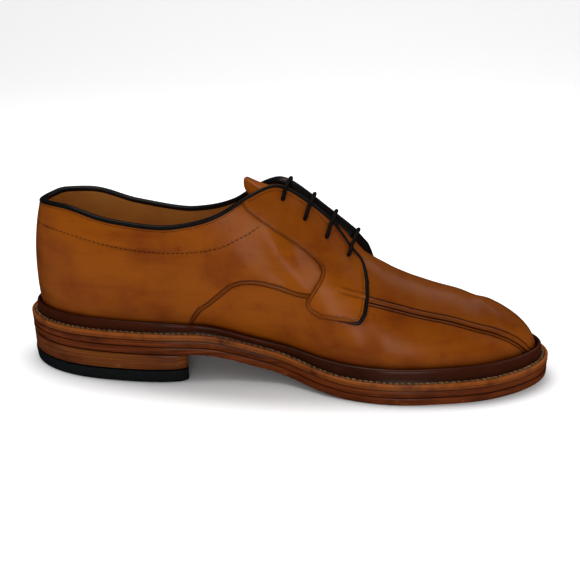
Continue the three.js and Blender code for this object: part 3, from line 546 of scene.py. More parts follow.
def finishMaterial(tree, shader, tone, height, bump, roughness=None):
    tree.links.new(tone, shader.inputs["Base Color"])
    if roughness:
        tree.links.new(roughness, shader.inputs["Roughness"])
    relief = nodeIn(tree, "ShaderNodeBump", {"Strength": bump, "Distance": 0.0004, "Height": height})
    tree.links.new(relief.outputs[0], shader.inputs["Normal"])


def leatherMaterial(name, look):
    material, tree, shader = newMaterial(name, look["roughness"], look["coat"], look["coatRoughness"])
    dye = groupIn(tree, burnishGroup, Clouds=look["clouds"], Streaks=look["streaks"], Spots=look["spots"])
    tone = mixIn(tree, dye, look["tone"], look["deepTone"])
    # The values on the points darken the tone: burnished edges and seams, plus painted shade in grooves, on
    # upward-facing parts and deep inside the shoe
    tone = mixIn(tree, valueOnPoints(tree, "burnishAndShade"), tone, look["burntTone"])
    if "rubbedTone" in look:
        patches = stretchIn(tree, noiseIn(tree, 70.0, 4.0, 0.6), 0.2, 0.55)
        tone = mixIn(tree, mathIn(tree, "MULTIPLY", valueOnPoints(tree, "rubbed"), patches), tone,
                     look["rubbedTone"])
    grain = groupIn(tree, grainGroup, Pebbles_per_metre=look["pebbles"], Pore_depth=look["poreDepth"],
                    Wave_depth=look["waveDepth"])
    rough = mathIn(tree, "MULTIPLY_ADD", dye, look["roughnessSpread"], look["roughness"])
    finishMaterial(tree, shader, tone, grain, look["bump"], rough)
    return material


calfLook = {
    "tone": (0.275, 0.065, 0.0015, 1), "deepTone": (0.155, 0.024, 0.0005, 1),
    "burntTone": (0.040, 0.0064, 0.0010, 1),
    "roughness": 0.40, "roughnessSpread": 0.10, "coat": 0.16, "coatRoughness": 0.24,
    "clouds": 0.70, "streaks": 0.40, "spots": 0.30,
    "pebbles": 1500.0, "poreDepth": 0.35, "waveDepth": 0.5, "bump": 0.22,
}
liningLook = dict(calfLook, tone=(0.50, 0.22, 0.050, 1), deepTone=(0.38, 0.14, 0.028, 1),
                  burntTone=(0.12, 0.045, 0.012, 1), roughness=0.55, coat=0.0, bump=0.3)
weltLook = dict(calfLook, tone=(0.050, 0.0092, 0.0026, 1), deepTone=(0.024, 0.0048, 0.0018, 1),
                burntTone=(0.012, 0.0032, 0.0018, 1), roughness=0.38, coat=0.2, bump=0.35,
                rubbedTone=(0.270, 0.068, 0.0095, 1))
bindingLook = dict(calfLook, tone=(0.0055, 0.0050, 0.0055, 1), deepTone=(0.0035, 0.0035, 0.0040, 1),
                   burntTone=(0.050, 0.012, 0.005, 1), roughness=0.42, coat=0.1, bump=0.3)


# Cut and burnished edges: thin level layers of the hide, and scuffs along them
def edgeMaterial(name, look):
    material, tree, shader = newMaterial(name, look["roughness"], look["coat"], look["coatRoughness"])
    layers = noiseIn(tree, 100.0, 4.0, 0.6, (0.12, 0.12, look["layers"]))
    blotches = noiseIn(tree, 55.0, 4.0, 0.6, (0.5, 0.5, 1.6), (4, 2, 7))
    scuffs = stretchIn(tree, noiseIn(tree, 130.0, 5.0, 0.65, (0.6, 0.6, 1)), 0.60, 0.75)
    tone = look["tone"]
    for over, amount in (("deepTone", stretchIn(tree, layers, 0.35, 0.65)),
                         ("burntTone", stretchIn(tree, blotches, 0.42, 0.70)),
                         ("rubbedTone", mathIn(tree, "MULTIPLY", scuffs, look["scuffs"])),
                         ("lineTone", valueOnPoints(tree, "burnishAndShade"))):
        tone = mixIn(tree, amount, tone, look[over])
    finishMaterial(tree, shader, tone, mathIn(tree, "ADD", layers, groupIn(tree, grainGroup)), look["bump"],
                   mathIn(tree, "MULTIPLY_ADD", scuffs, look["roughnessSpread"], look["roughness"]))
    return material


edgeLook = {
    "tone": (0.175, 0.034, 0.0042, 1), "deepTone": (0.090, 0.016, 0.0026, 1),
    "burntTone": (0.060, 0.011, 0.0024, 1), "rubbedTone": (0.38, 0.120, 0.022, 1),
    "lineTone": (0.026, 0.0060, 0.0024, 1),
    "roughness": 0.40, "roughnessSpread": 0.2, "coat": 0.25, "coatRoughness": 0.25,
    "layers": 9.0, "scuffs": 0.55, "bump": 0.35,
}
heelLook = dict(edgeLook, tone=(0.190, 0.052, 0.0075, 1), deepTone=(0.125, 0.030, 0.0050, 1),
                burntTone=(0.090, 0.019, 0.0042, 1), lineTone=(0.050, 0.012, 0.004, 1), layers=6.0)


def plainMaterial(name, tone, otherTone, roughness, scale, bump):
    material, tree, shader = newMaterial(name, roughness)
    pattern = noiseIn(tree, scale, 4.0, 0.6)
    mixed = mixIn(tree, stretchIn(tree, pattern, 0.35, 0.65), tone, otherTone)
    finishMaterial(tree, shader, mixed, pattern, bump)
    return material


calf = leatherMaterial("tan calf", calfLook)
lining = leatherMaterial("lining leather", liningLook)
weltLeather = leatherMaterial("dark welt leather", weltLook)
bindingLeather = leatherMaterial("black edge leather", bindingLook)
soleEdge = edgeMaterial("burnished sole edge", edgeLook)
heelEdge = edgeMaterial("stacked heel", heelLook)
plainLooks = {
    "heel rubber": ((0.0045, 0.0062, 0.0075, 1), (0.0080, 0.0105, 0.0125, 1), 0.62, 900.0, 0.25),
    "dark thread": ((0.028, 0.0065, 0.0030, 1), (0.014, 0.0035, 0.0022, 1), 0.6, 4000.0, 0.4),
    "black thread": ((0.009, 0.0050, 0.0042, 1), (0.0045, 0.0032, 0.0030, 1), 0.6, 4000.0, 0.4),
    "waxed pale thread": ((0.27, 0.155, 0.070, 1), (0.060, 0.028, 0.012, 1), 0.5, 900.0, 0.8),
    "waxed lace": ((0.0060, 0.0058, 0.0060, 1), (0.0022, 0.0022, 0.0026, 1), 0.52, 2600.0, 0.8),
    "painted shade of awl holes": ((0.012, 0.006, 0.004, 1), (0.006, 0.004, 0.003, 1), 0.9, 900.0, 0.1),
}
rubber, darkThread, blackThread, paleThread, laceFabric, holeShade = (
    plainMaterial(name, *look) for name, look in plainLooks.items())

print("materials ready")

# Vamp with its two bicycle seams
vampSizes = {
    "spacing": 1.3, "start": 0.345, "underLap": 8.0, "thickness": 1.1, "crownDip": 1.3,
    "darkerNearWelt": (0.72, 5.0, 0.30, 16.0), "crownShade": 0.38,
    "seamBurnAndShade": ((0.20, 0.4, 1.7, 4), (1.0, -1.1, 0.42), (0.75, -2.5, 0.34), (0.7, 2.3, 0.34)),
    "seamAt": (-6.5, -4.6, -3.6, -3.1, -2.75, -2.45, -2.15, -1.85, -1.6, -1.38, -1.15, -0.95, -0.75, -0.4,
               0.0, 0.5, 1.0, 1.4, 1.75, 2.05, 2.35, 2.65, 3.1, 4.0, 5.5),
    "seamLift": (0.0, 0.0, 0.02, -0.03, -0.20, -0.26, -0.04, 0.22, 0.34, 0.20, -0.32, -0.10, 0.34, 0.66, 0.78,
                 0.76, 0.66, 0.50, 0.24, -0.08, -0.26, -0.10, 0.02, 0.0, 0.0),
}


def ridgeFade(share):
    return smoothStep(share, 0.664, 0.677) * (1 - smoothStep(share, 0.984, 0.999))


# How far a row at a distance along a column lies from the seam line, measured across the seam
def slantOf(share, side):
    turn = turnAt(share, side)
    height = seamHeight(share)
    along = unit(lastAt(turnAt(share + 0.002, side), seamHeight(share + 0.002))
                 - lastAt(turnAt(share - 0.002, side), seamHeight(share - 0.002)))
    up = unit(lastAt(turn, height + 0.01) - lastAt(turn, height - 0.01))
    return np.clip(np.linalg.norm(np.cross(along, up), axis=-1), 0.45, 1)


# Soft creases and hollows: share and height of both ends, width and depth in mm
softForms = {
    "vamp": (
        ((0.715, 0.60), (0.700, 1.00), 5.0, -0.30), ((0.742, 0.62), (0.733, 1.00), 5.0, -0.22),
        ((0.690, 0.10), (0.672, 0.30), 6.0, -0.35), ((0.655, 0.12), (0.640, 0.28), 7.0, 0.30),
    ),
    "quarter": (
        ((0.548, 0.46), (0.484, 0.74), 5.5, 0.75), ((0.520, 0.42), (0.462, 0.66), 6.5, -0.60),
        ((0.575, 0.50), (0.515, 0.66), 5.0, -0.45), ((0.400, 0.50), (0.379, 0.62), 12.0, 0.55),
        ((0.340, 0.50), (0.300, 0.70), 12.0, -0.40), ((0.180, 0.30), (0.120, 0.45), 12.0, -0.30),
        ((0.050, 0.55), (0.090, 0.62), 10.0, 0.25),
    ),
}


def softLift(points, side, which):
    total = np.zeros(points.shape[:-1])
    for start, end, width, depth in softForms[which]:
        ends = [lastAt(turnAt(share, side), height) for share, height in (start, end)]
        along = ends[1] - ends[0]
        share = np.clip(((points - ends[0]) @ along) / (along @ along), 0, 1)
        away = np.linalg.norm(points - ends[0] - share[..., None] * along, axis=-1)
        total += depth * bell(away, 0, width)
    return total


# Darker near the welt, and less so further up the upper
def darkerNearWelt(distance, near, nearReach, far, farReach):
    return near * bell(distance, 0, nearReach, 1.5) + far * np.exp(-distance / farReach)


# The vamp goes on over the throat: from the top of a column to the middle line, low under the facings
def crownAt(turn, beyond):
    rims = [lastAt(sign * turn, np.ones_like(turn)) for sign in (1, -1)]
    centre = (rims[0] + rims[1]) / 2
    half = np.abs(rims[0][..., 1] - centre[..., 1])
    rise = 0
    for sign, rim in zip((1, -1), rims):
        up = unit(rim - lastAt(sign * turn, np.full_like(turn, 0.97)))
        rise = rise + 0.25 * half * up[..., 2] / np.maximum(np.abs(up[..., 1]), 0.2)
    centre[..., 2] += rise
    turning = (rims[0] + centre) / 2
    turning[..., 2] = centre[..., 2]
    share = beyond[..., None]
    points = (1 - share) ** 2 * rims[0] + 2 * share * (1 - share) * turning + share**2 * centre
    dip = vampSizes["crownDip"] * (1 - smoothStep(shareAt(turn), 0.625, 0.668)) * smoothStep(beyond, 0, 0.7)
    points[..., 2] -= dip
    return points


def makeVamp():
    turns, rows, lifts, burnAndShadeParts, crowns = [], [], [], [], []
    for side in sides:
        shares = evenShares(vampSizes["start"], 1.0, vampSizes["spacing"], (upperSizes["throatEnd"],))
        if side == "lateral":
            shares = shares[::-1][1:]
        sideTurns = turnAt(shares, side)
        heights, lengths = columnLengths(sideTurns)
        seam = np.clip(seamHeight(shares), 0.012, 1)
        seamLength = lengthAt(heights, lengths, seam)
        full = lengths[:, -1]
        reach = smoothStep(shares, 0.575, 0.600)
        crown = 1.05 * np.abs(topPoint(sideTurns)[:, 1] + axisShift)
        end = np.minimum(seamLength + vampSizes["underLap"], full) * (1 - reach) + full * reach
        end = end + crown * smoothStep(shares, 0.600, 0.612)
        slant = slantOf(shares, side)
        at = np.array(vampSizes["seamAt"])
        lift = np.array(vampSizes["seamLift"])
        middle = len(at) // 2
        below = spread(np.zeros(len(shares)), seamLength, (0, 0.5, 1.2, 2.4), -at[:middle + 1][::-1], 12)
        above = spread(seamLength, end, at[middle:], (0, 1.2, 2.6), 16)
        distance = np.concatenate([below, above[:, 1:]], axis=1)
        away = (distance - seamLength[:, None]) * slant[:, None]
        row = heightAt(heights, lengths, distance)
        row[:, 0] = 0
        row[:, -1] = np.where(reach > 0.999, 1, row[:, -1])
        beyond = np.clip((distance - full[:, None]) / np.maximum(crown, 1e-6)[:, None], 0, 1)
        crowns.append(np.where(shares[:, None] < upperSizes["throatEnd"] - 1e-4, beyond, 0))
        points = lastAt(sideTurns[:, None], row)
        fade = ridgeFade(shares)[:, None]
        raised = np.interp(away, at, lift) * fade + softLift(points, side, "vamp")
        # Darker near the welt; at the bicycle seam, a darker ridge and painted shade in the seam's grooves
        burnAndShade = darkerNearWelt(distance, *vampSizes["darkerNearWelt"]) + bells(away, vampSizes["seamBurnAndShade"]) * fade
        turns.append(np.broadcast_to(sideTurns[:, None], row.shape))
        rows.append(row)
        lifts.append(raised)
        burnAndShadeParts.append(burnAndShade)
    turn, row, lift, burnAndShade, beyond = (np.concatenate(parts) for parts in (turns, rows, lifts, burnAndShadeParts, crowns))
    outer = formAt(turn, row, lift)
    inner = formAt(turn, row, np.minimum(lift, 0) - vampSizes["thickness"])
    crown = crownAt(turn, beyond)
    outer = np.where(beyond[..., None] > 0, crown, outer)
    inner = np.where(beyond[..., None] > 0, crown - np.array([0, 0, vampSizes["thickness"]]), inner)
    # Painted shade: the upward-facing top of the vamp is made darker
    burnAndShade = burnAndShade + vampSizes["crownShade"] * smoothStep(outwardAt(turn, row)[..., 2], 0.35, 0.90)
    joined = (shareAt(turn[:, 0]) >= upperSizes["throatEnd"] - 1e-4) | (beyond[:, -1] > 0.9999)
    addSheet("vamp", outer, inner, calf, "upper", burnAndShade, joined)


makeVamp()

# Quarters
quarterSizes = {
    "spacing": 1.5, "front": 0.598, "inner": -0.3, "trench": 0.10,
    "darkerNearWelt": (0.70, 5.5, 0.32, 18.0), "rowShade": 0.35, "backBurn": 0.22,
    "edgeBurnAndShade": ((0.60, 0, 0.42), (0.44, 1.6, 1.35, 6), (0.3, 2.7, 0.35)),
    "edgeAt": (0.0, 0.05, 0.14, 0.26, 0.42, 0.62, 0.84, 1.10, 1.60, 2.20, 2.45, 2.70, 2.95, 3.6, 5.0),
    "edgeLift": (-0.76, -0.48, -0.24, -0.06, 0.0, -0.14, 0.04, 0.12, 0.14, 0.08, 0.0, -0.16, 0.0, 0.0, 0.0),
    "topAt": (0, 0.5, 1.2, 1.9, 2.6, 3.4),
}


def makeQuarter(side):
    shares = evenShares(0.0, quarterSizes["front"], quarterSizes["spacing"], (seamRows["at"][0],))
    turns = turnAt(shares, side)
    heights, lengths = columnLengths(turns)
    seam = np.where(shares > seamRows["at"][0], np.clip(seamHeight(shares), 0, 1), 0)
    start = lengthAt(heights, lengths, seam)
    slant = slantOf(shares, side)
    low = np.array(quarterSizes["edgeAt"])
    distance = spread(start, lengths[:, -1], low, quarterSizes["topAt"], 30)
    row = heightAt(heights, lengths, distance)
    points = lastAt(turns[:, None], row)
    away = (distance - start[:, None]) * slant[:, None]
    edged = smoothStep(shares, 0.345, 0.352)[:, None]
    lift = upperSizes["quarterStep"] + np.interp(away, low, quarterSizes["edgeLift"]) * edged
    rowHeight = np.interp(shares, collarRow["at"], collarRow["height"])
    trench = lengthAt(heights, lengths, rowHeight)[:, None] - distance
    decorated = (smoothStep(shares, 0.02, 0.03) * (1 - smoothStep(shares, 0.47, 0.48)))[:, None]
    lift = lift - quarterSizes["trench"] * bell(trench, 0, 0.7) * decorated
    lift = lift + softLift(points, side, "quarter") * smoothStep(away, 0, 8)
    # Darker near the welt; at the edge over the vamp, a dark cut edge and band, and painted shade in the groove;
    # painted shade in the trench of the collar row; a darker back seam
    burnAndShade = darkerNearWelt(distance, *quarterSizes["darkerNearWelt"]) + bells(away, quarterSizes["edgeBurnAndShade"]) * edged
    burnAndShade = burnAndShade + quarterSizes["rowShade"] * bell(trench, 0, 0.5) * decorated
    burnAndShade = burnAndShade + quarterSizes["backBurn"] * bell(shares[:, None], 0.03, 0.035)
    outer = formAt(turns[:, None], row, lift)
    inner = formAt(turns[:, None], row, quarterSizes["inner"] + 0 * lift)
    addSheet("quarter_" + side, outer, inner, calf, "upper", burnAndShade)


for side in sides:
    makeQuarter(side)

# Lining: one shell inside the upper
liningSizes = {"spacing": 3.0, "outer": -1.25, "inner": -2.0, "rows": 30}


def makeLining():
    half = evenShares(0.0, 1.0, liningSizes["spacing"], (upperSizes["throatEnd"],))
    turns = np.concatenate([turnAt(half, "medial"), turnAt(half[::-1][1:], "lateral")])
    row = np.broadcast_to(np.linspace(0, 1, liningSizes["rows"]), (len(turns), liningSizes["rows"]))
    turn = turns[:, None]
    outer = formAt(turn, row, np.full(row.shape, liningSizes["outer"]))
    inner = formAt(turn, row, np.full(row.shape, liningSizes["inner"]))
    joined = shareAt(turns) >= upperSizes["throatEnd"] - 1e-4
    # Painted shade: the lining is made darker towards the toe, deep inside the shoe
    burnAndShade = 0.5 * smoothStep(shareAt(turn), 0.45, 0.75)
    addSheet("lining", outer, inner, lining, "upper", burnAndShade, joined)


makeLining()
print("vamp, quarters and lining ready")

# Eyestays
eyestaySizes = {
    "thickness": 1.3, "gap": 0.12, "spring": 3.1, "foot": 0.325, "tabTop": 0.450, "tabSlant": 0.052,
    "columnLength": 75.0, "frontLength": 62,
    "edgeAt": (0.0, 0.06, 0.18, 0.38, 0.65, 1.0, 1.4, 1.75, 2.05, 2.35, 2.7, 3.2, 4.0),
    "edgeLift": (-1.25, -0.80, -0.42, -0.08, 0.16, 0.24, 0.20, 0.02, -0.20, -0.02, 0.0, 0.0, 0.0),
    "plainLift": (-1.25, -0.70, -0.28, -0.06, 0.0, -0.16, -0.02, 0.0, 0.0, 0.0, 0.0, 0.0, 0.0),
}


def eyestayPlace(height, across, side):
    front = eyestayEdge["front"](height) + (side == "lateral") * 0.026 * smoothStep(height, 0.85, 1.0)
    share = eyestayEdge["back"](height) * (1 - across) + front * across
    below = np.maximum(0, (eyestaySizes["tabTop"] - height) / (eyestaySizes["tabTop"] - eyestaySizes["foot"]))
    return share, height + eyestaySizes["tabSlant"] * (across - 0.2) * below


# The far facing stands off the vamp near its front corner
def sprung(share, height, side):
    if side == "medial":
        return 0 * share
    return eyestaySizes["spring"] * smoothStep(share, 0.56, 0.655) * smoothStep(height, 0.68, 0.88)


def underEyestay(share, height, side):
    over = (height - seamHeight(share)) * 60
    step = upperSizes["quarterStep"] * smoothStep(over, -3, 4) * (1 - smoothStep(share, 0.612, 0.660))
    return step + eyestaySizes["gap"] + sprung(share, height, side)


def eyestayOutline(side, spacing=0.5):
    low = eyestaySizes["foot"]
    heights = np.concatenate([low + 0.055 * np.linspace(0, 1, 60) ** 2, np.linspace(0.38, 1.0, 300)[1:]])
    back = eyestayPlace(heights, np.zeros_like(heights), side)
    foot = eyestayPlace(np.full(40, low), np.linspace(0, 1, 40), side)
    front = eyestayPlace(heights, np.ones_like(heights), side)
    share, height = (np.concatenate([back[axis][::-1], foot[axis][1:-1], front[axis]]) for axis in (0, 1))
    flat = stacked(share, height)
    points = formAt(turnAt(share, side), height, underEyestay(share, height, side))
    lengths = lengthsOf(points)
    even = np.arange(0, lengths[-1], spacing)
    return [np.interp(even, lengths, flat[:, axis]) for axis in (0, 1)]


def nearestAway(points, line):
    flatPoints = points.reshape(-1, 3)
    away = np.full(len(flatPoints), 1e9)
    for start in range(0, len(flatPoints), 4000):
        block = flatPoints[start:start + 4000]
        away[start:start + 4000] = np.sqrt(
            ((block[:, None, :] - line[None, :, :]) ** 2).sum(axis=-1).min(axis=1))
    return away.reshape(points.shape[:-1])


def makeEyestay(side):
    offsets = np.array(eyestaySizes["edgeAt"])
    lowRows = eyestaySizes["foot"] + offsets * (1 / eyestaySizes["columnLength"])
    rows = np.concatenate([lowRows, np.linspace(lowRows[-1], 1.0, 72)[1:]])
    grid = []
    for height in rows:
        across = np.linspace(0, 1, 161)
        share, tall = eyestayPlace(np.full(161, height), across, side)
        line = lastAt(turnAt(share, side), tall)
        lengths = lengthsOf(line)
        places = spread(np.zeros(1), lengths[-1:], offsets, offsets, 30)[0]
        across = np.interp(places, lengths, across)
        grid.append(np.stack(eyestayPlace(np.full(len(across), height), across, side), axis=-1))
    grid = np.stack(grid, axis=1)
    if side == "lateral":
        grid = grid[::-1]
    share, tall = grid[..., 0], grid[..., 1]
    turn = turnAt(share, side)
    base = underEyestay(share, tall, side)
    rimShare, rimTall = eyestayOutline(side, 0.35)
    edge = formAt(turnAt(rimShare, side), rimTall, underEyestay(rimShare, rimTall, side))
    away = nearestAway(formAt(turn, tall, base), edge)
    plain = np.maximum(smoothStep(tall, 0.615, 0.665),
                       smoothStep(share, 0.642, 0.656) * smoothStep(tall, 0.34, 0.37))
    edging = np.interp(away, offsets, eyestaySizes["edgeLift"]) * (1 - plain)
    edging = edging + np.interp(away, offsets, eyestaySizes["plainLift"]) * plain
    lift = base + eyestaySizes["thickness"] + edging
    fromSeam = tall - np.interp(share, (0.623, 0.639, 0.653, 0.672), (0.549, 0.563, 0.568, 0.572))
    fromSeam = fromSeam * eyestaySizes["frontLength"]
    embossed = smoothStep(share, 0.612, 0.632)
    troughs = bell(fromSeam, 1.1, 0.38) + bell(fromSeam, -1.1, 0.38)
    lift = lift + embossed * (0.30 * bell(fromSeam, 0, 0.9, 4) - 0.24 * troughs)
    hollow = np.exp(-(((share - 0.640) * soleSizes["length"] / 7) ** 2
                      + ((tall - 0.455) * eyestaySizes["frontLength"] / 5) ** 2))
    lift = lift - 0.25 * hollow
    rim = 0.62 * bell(away, 0, 1.3, 4) + 0.5 * bell(away, 2.05, 0.3)
    burnAndShade = rim * (1 - plain)
    burnAndShade = burnAndShade + plain * (0.75 * bell(away, 0, 0.35) + 0.3 * bell(away, 1.0, 0.25))
    # Painted shade: the troughs beside the embossed ridge and the upper, upward-facing part of the eyestay are
    # made darker
    burnAndShade = burnAndShade + embossed * 0.55 * troughs + 0.24 * smoothStep(tall, 0.52, 0.68)
    outer = formAt(turn, tall, lift)
    inner = formAt(turn, tall, np.minimum(base - 0.1 - sprung(share, tall, side), lift - 0.05))
    addSheet("eyestay_dressed_" + side, outer, inner, calf, "eyestay_" + side, burnAndShade)


for side in sides:
    makeEyestay(side)
print("eyestays ready")

# Black folded edge: round the collar and down both facings
bindingSizes = {
    "halfHigh": 1.45, "lap": 0.45, "end": 0.606, "farEnd": 0.634, "facing": 0.440, "spacing": 1.2,
    "width": 1.15,
}


def makeCollarBinding():
    near, far = (evenShares(0.0, bindingSizes[key], bindingSizes["spacing"]) for key in ("end", "farEnd"))
    turns = np.concatenate([turnAt(far[::-1][:-1], "lateral"), turnAt(near, "medial")])
    share = shareAt(turns)
    across = outwardAt(turns, np.ones_like(turns))
    edge = lastAt(turns, np.ones_like(turns))
    up = unit(edge - lastAt(turns, np.full_like(turns, 0.97)))
    facing = smoothStep(share, bindingSizes["facing"] - 0.035, bindingSizes["facing"])
    outerSide = upperSizes["quarterStep"] + facing * (eyestaySizes["thickness"] + eyestaySizes["gap"])
    inner = -upperSizes["wall"]
    proud = sprung(share, np.ones_like(share), "lateral") * (np.sin(turns) < 0)
    halfWide = (outerSide + proud - inner) / 2 + bindingSizes["lap"]
    centre = edge + across * ((outerSide + proud + inner) / 2)[:, None] + up * 0.1
    lengths = lengthsOf(centre)
    fromEnd = np.minimum(lengths, lengths[-1] - lengths)
    endLength = np.where(np.sin(turns) < 0, 2.2, 5.5)
    shrink = np.sqrt(np.clip(1 - (1 - np.clip(fromEnd / endLength, 0.05, 1)) ** 2, 0.02, 1))
    loops = beadLoops(centre, across, up, halfWide * shrink, bindingSizes["halfHigh"] * shrink, 16, 0.75)
    points, faces = sweptLoops(loops)
    addPiece("binding_collar", points, faces, bindingLeather, ("binding",),
             {"burnishAndShade": np.zeros(len(points))}, 180)


def makeFacingBinding(side):
    heights = np.concatenate([[0.325, 0.3255, 0.327, 0.330], 0.330 + 0.05 * np.linspace(0, 1, 20)[1:] ** 1.5,
                              np.linspace(0.38, 1.01, 90)[1:]])
    share, tall = eyestayPlace(heights, np.ones_like(heights), side)
    foot = eyestayPlace(np.full(12, 0.325), np.linspace(0.72, 0.99, 12), side)
    share, tall = np.concatenate([foot[0], share]), np.concatenate([foot[1], tall])
    spans = np.array([soleSizes["length"], eyestaySizes["columnLength"]])
    share, tall = (resample(stacked(share, tall) * spans, spacing=0.9) / spans).T
    turn = turnAt(share, side)
    base = underEyestay(share, tall, side)
    normal = outwardAt(turn, tall)
    edge = formAt(turn, tall, base)
    along = unit(np.gradient(edge, axis=0))
    inward = unit(np.cross(normal, along)) * (1 if side == "medial" else -1)
    taper = smoothStep(np.arange(len(edge)), -1, 12)
    wide = bindingSizes["width"] * (0.35 + 0.65 * taper)
    spring = sprung(share, tall, side)
    high = 0.5 + 0.42 * taper + spring / 2
    centre = edge + inward * (wide * 0.62)[:, None]
    centre = centre + normal * (eyestaySizes["thickness"] - bindingSizes["lap"] - spring / 2)[:, None]
    points, faces = sweptLoops(beadLoops(centre, inward, normal, wide, high, 14, 0.8))
    burnAndShade = np.repeat(1 - smoothStep(np.arange(len(edge)), 4, 16), 14) * 0.8
    addPiece("binding_facing_" + side, points, faces, bindingLeather, ("binding",),
             {"burnishAndShade": burnAndShade}, 180)


makeCollarBinding()
for side in sides:
    makeFacingBinding(side)

# Tongue
tongueSizes = {
    "outer": -3.1, "thickness": 2.0, "sag": 2.0, "free": 22.0, "run": (-0.93, 0, 0.25), "narrowing": 0.6,
    "flattening": 0.4, "rounding": 0.12, "curl": 3.2, "skew": 0.8,
    "heights": (0.78, 0.84, 0.90, 0.95),
    "covered": (0.695, 0.68, 0.665, 0.65, 0.63, 0.61, 0.59, 0.57, 0.55, 0.53, 0.51),
}


def tongueSection(share, offset):
    lines = [[formAt(np.array(turnAt(share, side)), np.array(height), np.array(offset))
              for height in tongueSizes["heights"]] for side in sides]
    tops = [formAt(np.array(turnAt(share, side)), np.array(1.0), np.array(offset)) for side in sides]
    centre = (tops[0] + tops[1]) / 2
    wide = float(column["topHalf"](min(share, 0.6649)) / column["topHalf"](0.55)) if share < 0.665 else 0.0
    centre[2] -= tongueSizes["sag"] * min(wide, 1)
    return smoothPath(np.array(lines[0] + [centre] + lines[1][::-1]), 37)


def makeTongue():
    grids = []
    for offset in (tongueSizes["outer"], tongueSizes["outer"] - tongueSizes["thickness"]):
        shares = np.interp(np.linspace(0, 10, 46), np.arange(11), tongueSizes["covered"])
        lines = [tongueSection(share, offset) for share in shares]
        root = lines[-1]
        middle = root[len(root) // 2]
        run = np.array(tongueSizes["run"])
        fromMiddle = np.linspace(-1, 1, len(root))[:, None]
        for step in np.linspace(0, 1, 25)[1:]:
            narrower = 1 - tongueSizes["narrowing"] * step**1.4
            moved = (root - middle) * np.array([1, narrower, 1 - tongueSizes["flattening"] * step])
            length = tongueSizes["free"] * step * (1 - tongueSizes["rounding"] * fromMiddle**4)
            length = length - tongueSizes["skew"] * step * fromMiddle
            lines.append(middle + moved + run * length + np.array([0, 0, tongueSizes["curl"] * step**2]))
        grids.append(np.stack(lines))
    outer, inner = grids
    taper = np.ones(outer.shape[:2])
    for edge in (np.arange(37), 36 - np.arange(37)):
        taper *= 1 - 0.75 * np.clip(1 - edge / 2.0, 0, 1) ** 2
    ends = (len(outer) - 1 - np.arange(len(outer))) / 1.5
    taper *= ((1 - 0.6 * np.clip(1 - ends, 0, 1) ** 2) * (1 - 0.55 * np.clip(1 - ends / 8, 0, 1)))[:, None]
    middleSheet = (outer + inner) / 2
    outer = middleSheet + (outer - middleSheet) * taper[..., None]
    inner = middleSheet + (inner - middleSheet) * taper[..., None]
    addSheet("tongue_dressed", outer, inner, calf, "tongue", 0.25 * np.exp(-ends)[:, None])


makeTongue()

# Lace: four bars, each through its two eyelets
laceSizes = {"radius": 1.15, "clear": 0.35}


def makeLaceBar(number, share, height):
    over = upperSizes["quarterStep"] + eyestaySizes["thickness"] + eyestaySizes["gap"]
    over = over + laceSizes["radius"] + laceSizes["clear"]

    def half(side):
        turn = turnAt(share, side)
        marks = ((height - 0.004, -4.6), (height - 0.006, -1.5), (height - 0.004, 1.4),
                 (height + 0.004, over - 0.6), (height + 0.5 * (1 - height), over - 0.15), (1.0, over + 0.1))
        spring = sprung(share, height, side)
        return [formAt(turn, np.array(tall), lift + spring * (lift > 0)) for tall, lift in marks]

    first, second = half("medial"), half("lateral")[::-1]
    middle = (first[-1] + second[0]) / 2 + np.array([0, 0, 0.3])
    path = smoothPath(np.array(first + [middle] + second), 70)
    along = unit(np.gradient(path, axis=0))
    forward = unit(np.array([1.0, 0, -0.7]))
    up = unit(np.cross(along, np.broadcast_to(forward, along.shape)))
    across = np.cross(up, along)
    points, faces = sweptLoops(beadLoops(path, across, up, laceSizes["radius"], laceSizes["radius"], 12, 1.0))
    addPiece(f"lace_{number}", points, faces, laceFabric, (f"lace_bar_{number}",), None, 180)


for number, (share, height) in enumerate(eyelets, 1):
    makeLaceBar(number, share, height)
print("binding, tongue and lace ready")

# Bottom: welt, midsole, outsole, insole, heel
ringTurns = turnAt(evenShares(0.0, 1.0, 1.4), "medial")
ringTurns = np.concatenate([ringTurns, -ringTurns[::-1][1:-1]])
weltSizes = {
    "ribHeight": 6.2, "lip": 1.5, "grooveDepth": 0.75, "grooveWidth": 2.3, "ribTop": 2.2, "joint": 0.410,
}


def soleLoops(turns, side):
    return np.stack([solePoint(turns, inset, lift) for inset, lift in side], axis=1)


def weltSection(turn):
    share = shareAt(turn)
    tall = weltSizes["ribHeight"] * feather["rib"](share)
    contact = featherInset(turn) - 0.45 - np.tan(leanAt(turn)) * tall
    contact = contact - upperSizes["quarterStep"] * (1 - smoothStep(share, 0.34, 0.36))
    lip = weltSizes["lip"]
    foot = lip + weltSizes["grooveWidth"]
    ribOuter = np.minimum(foot + 0.9, contact - weltSizes["ribTop"])
    deep = weltSizes["grooveDepth"]
    return [
        (0.10, -soleSizes["welt"]), (0.0, -3.2), (0.05, -2.3), (0.22, -2.05), (0.05, -1.8), (0.0, -0.75),
        (0.10, -0.35), (0.35, -0.08), (0.75, 0.0), (lip, -0.05),
        (lip + 0.35, -deep * 0.55), (lip + 0.8, -deep),
        (lip + 1.6, -deep), (lip + 2.05, -deep * 0.5),
        (foot, 0.25), (foot + (ribOuter - foot) * 0.35, 0.25 + tall * 0.22),
        (foot + (ribOuter - foot) * 0.7, 0.25 + tall * 0.45), (ribOuter, tall * 0.72),
        (ribOuter + 0.25, tall * 0.88),
        (ribOuter + 0.7, tall * 0.97), ((ribOuter + contact) / 2 + 0.2, tall), (contact - 0.3, tall * 0.97),
        (contact, tall * 0.90), (contact + 0.2, tall * 0.5), (contact + 0.6, 0.1 * tall),
        (contact + 0.8, 0.0),
        (featherInset(turn) + 4.0, 0.0), (featherInset(turn) + 4.0, -soleSizes["welt"]),
    ]


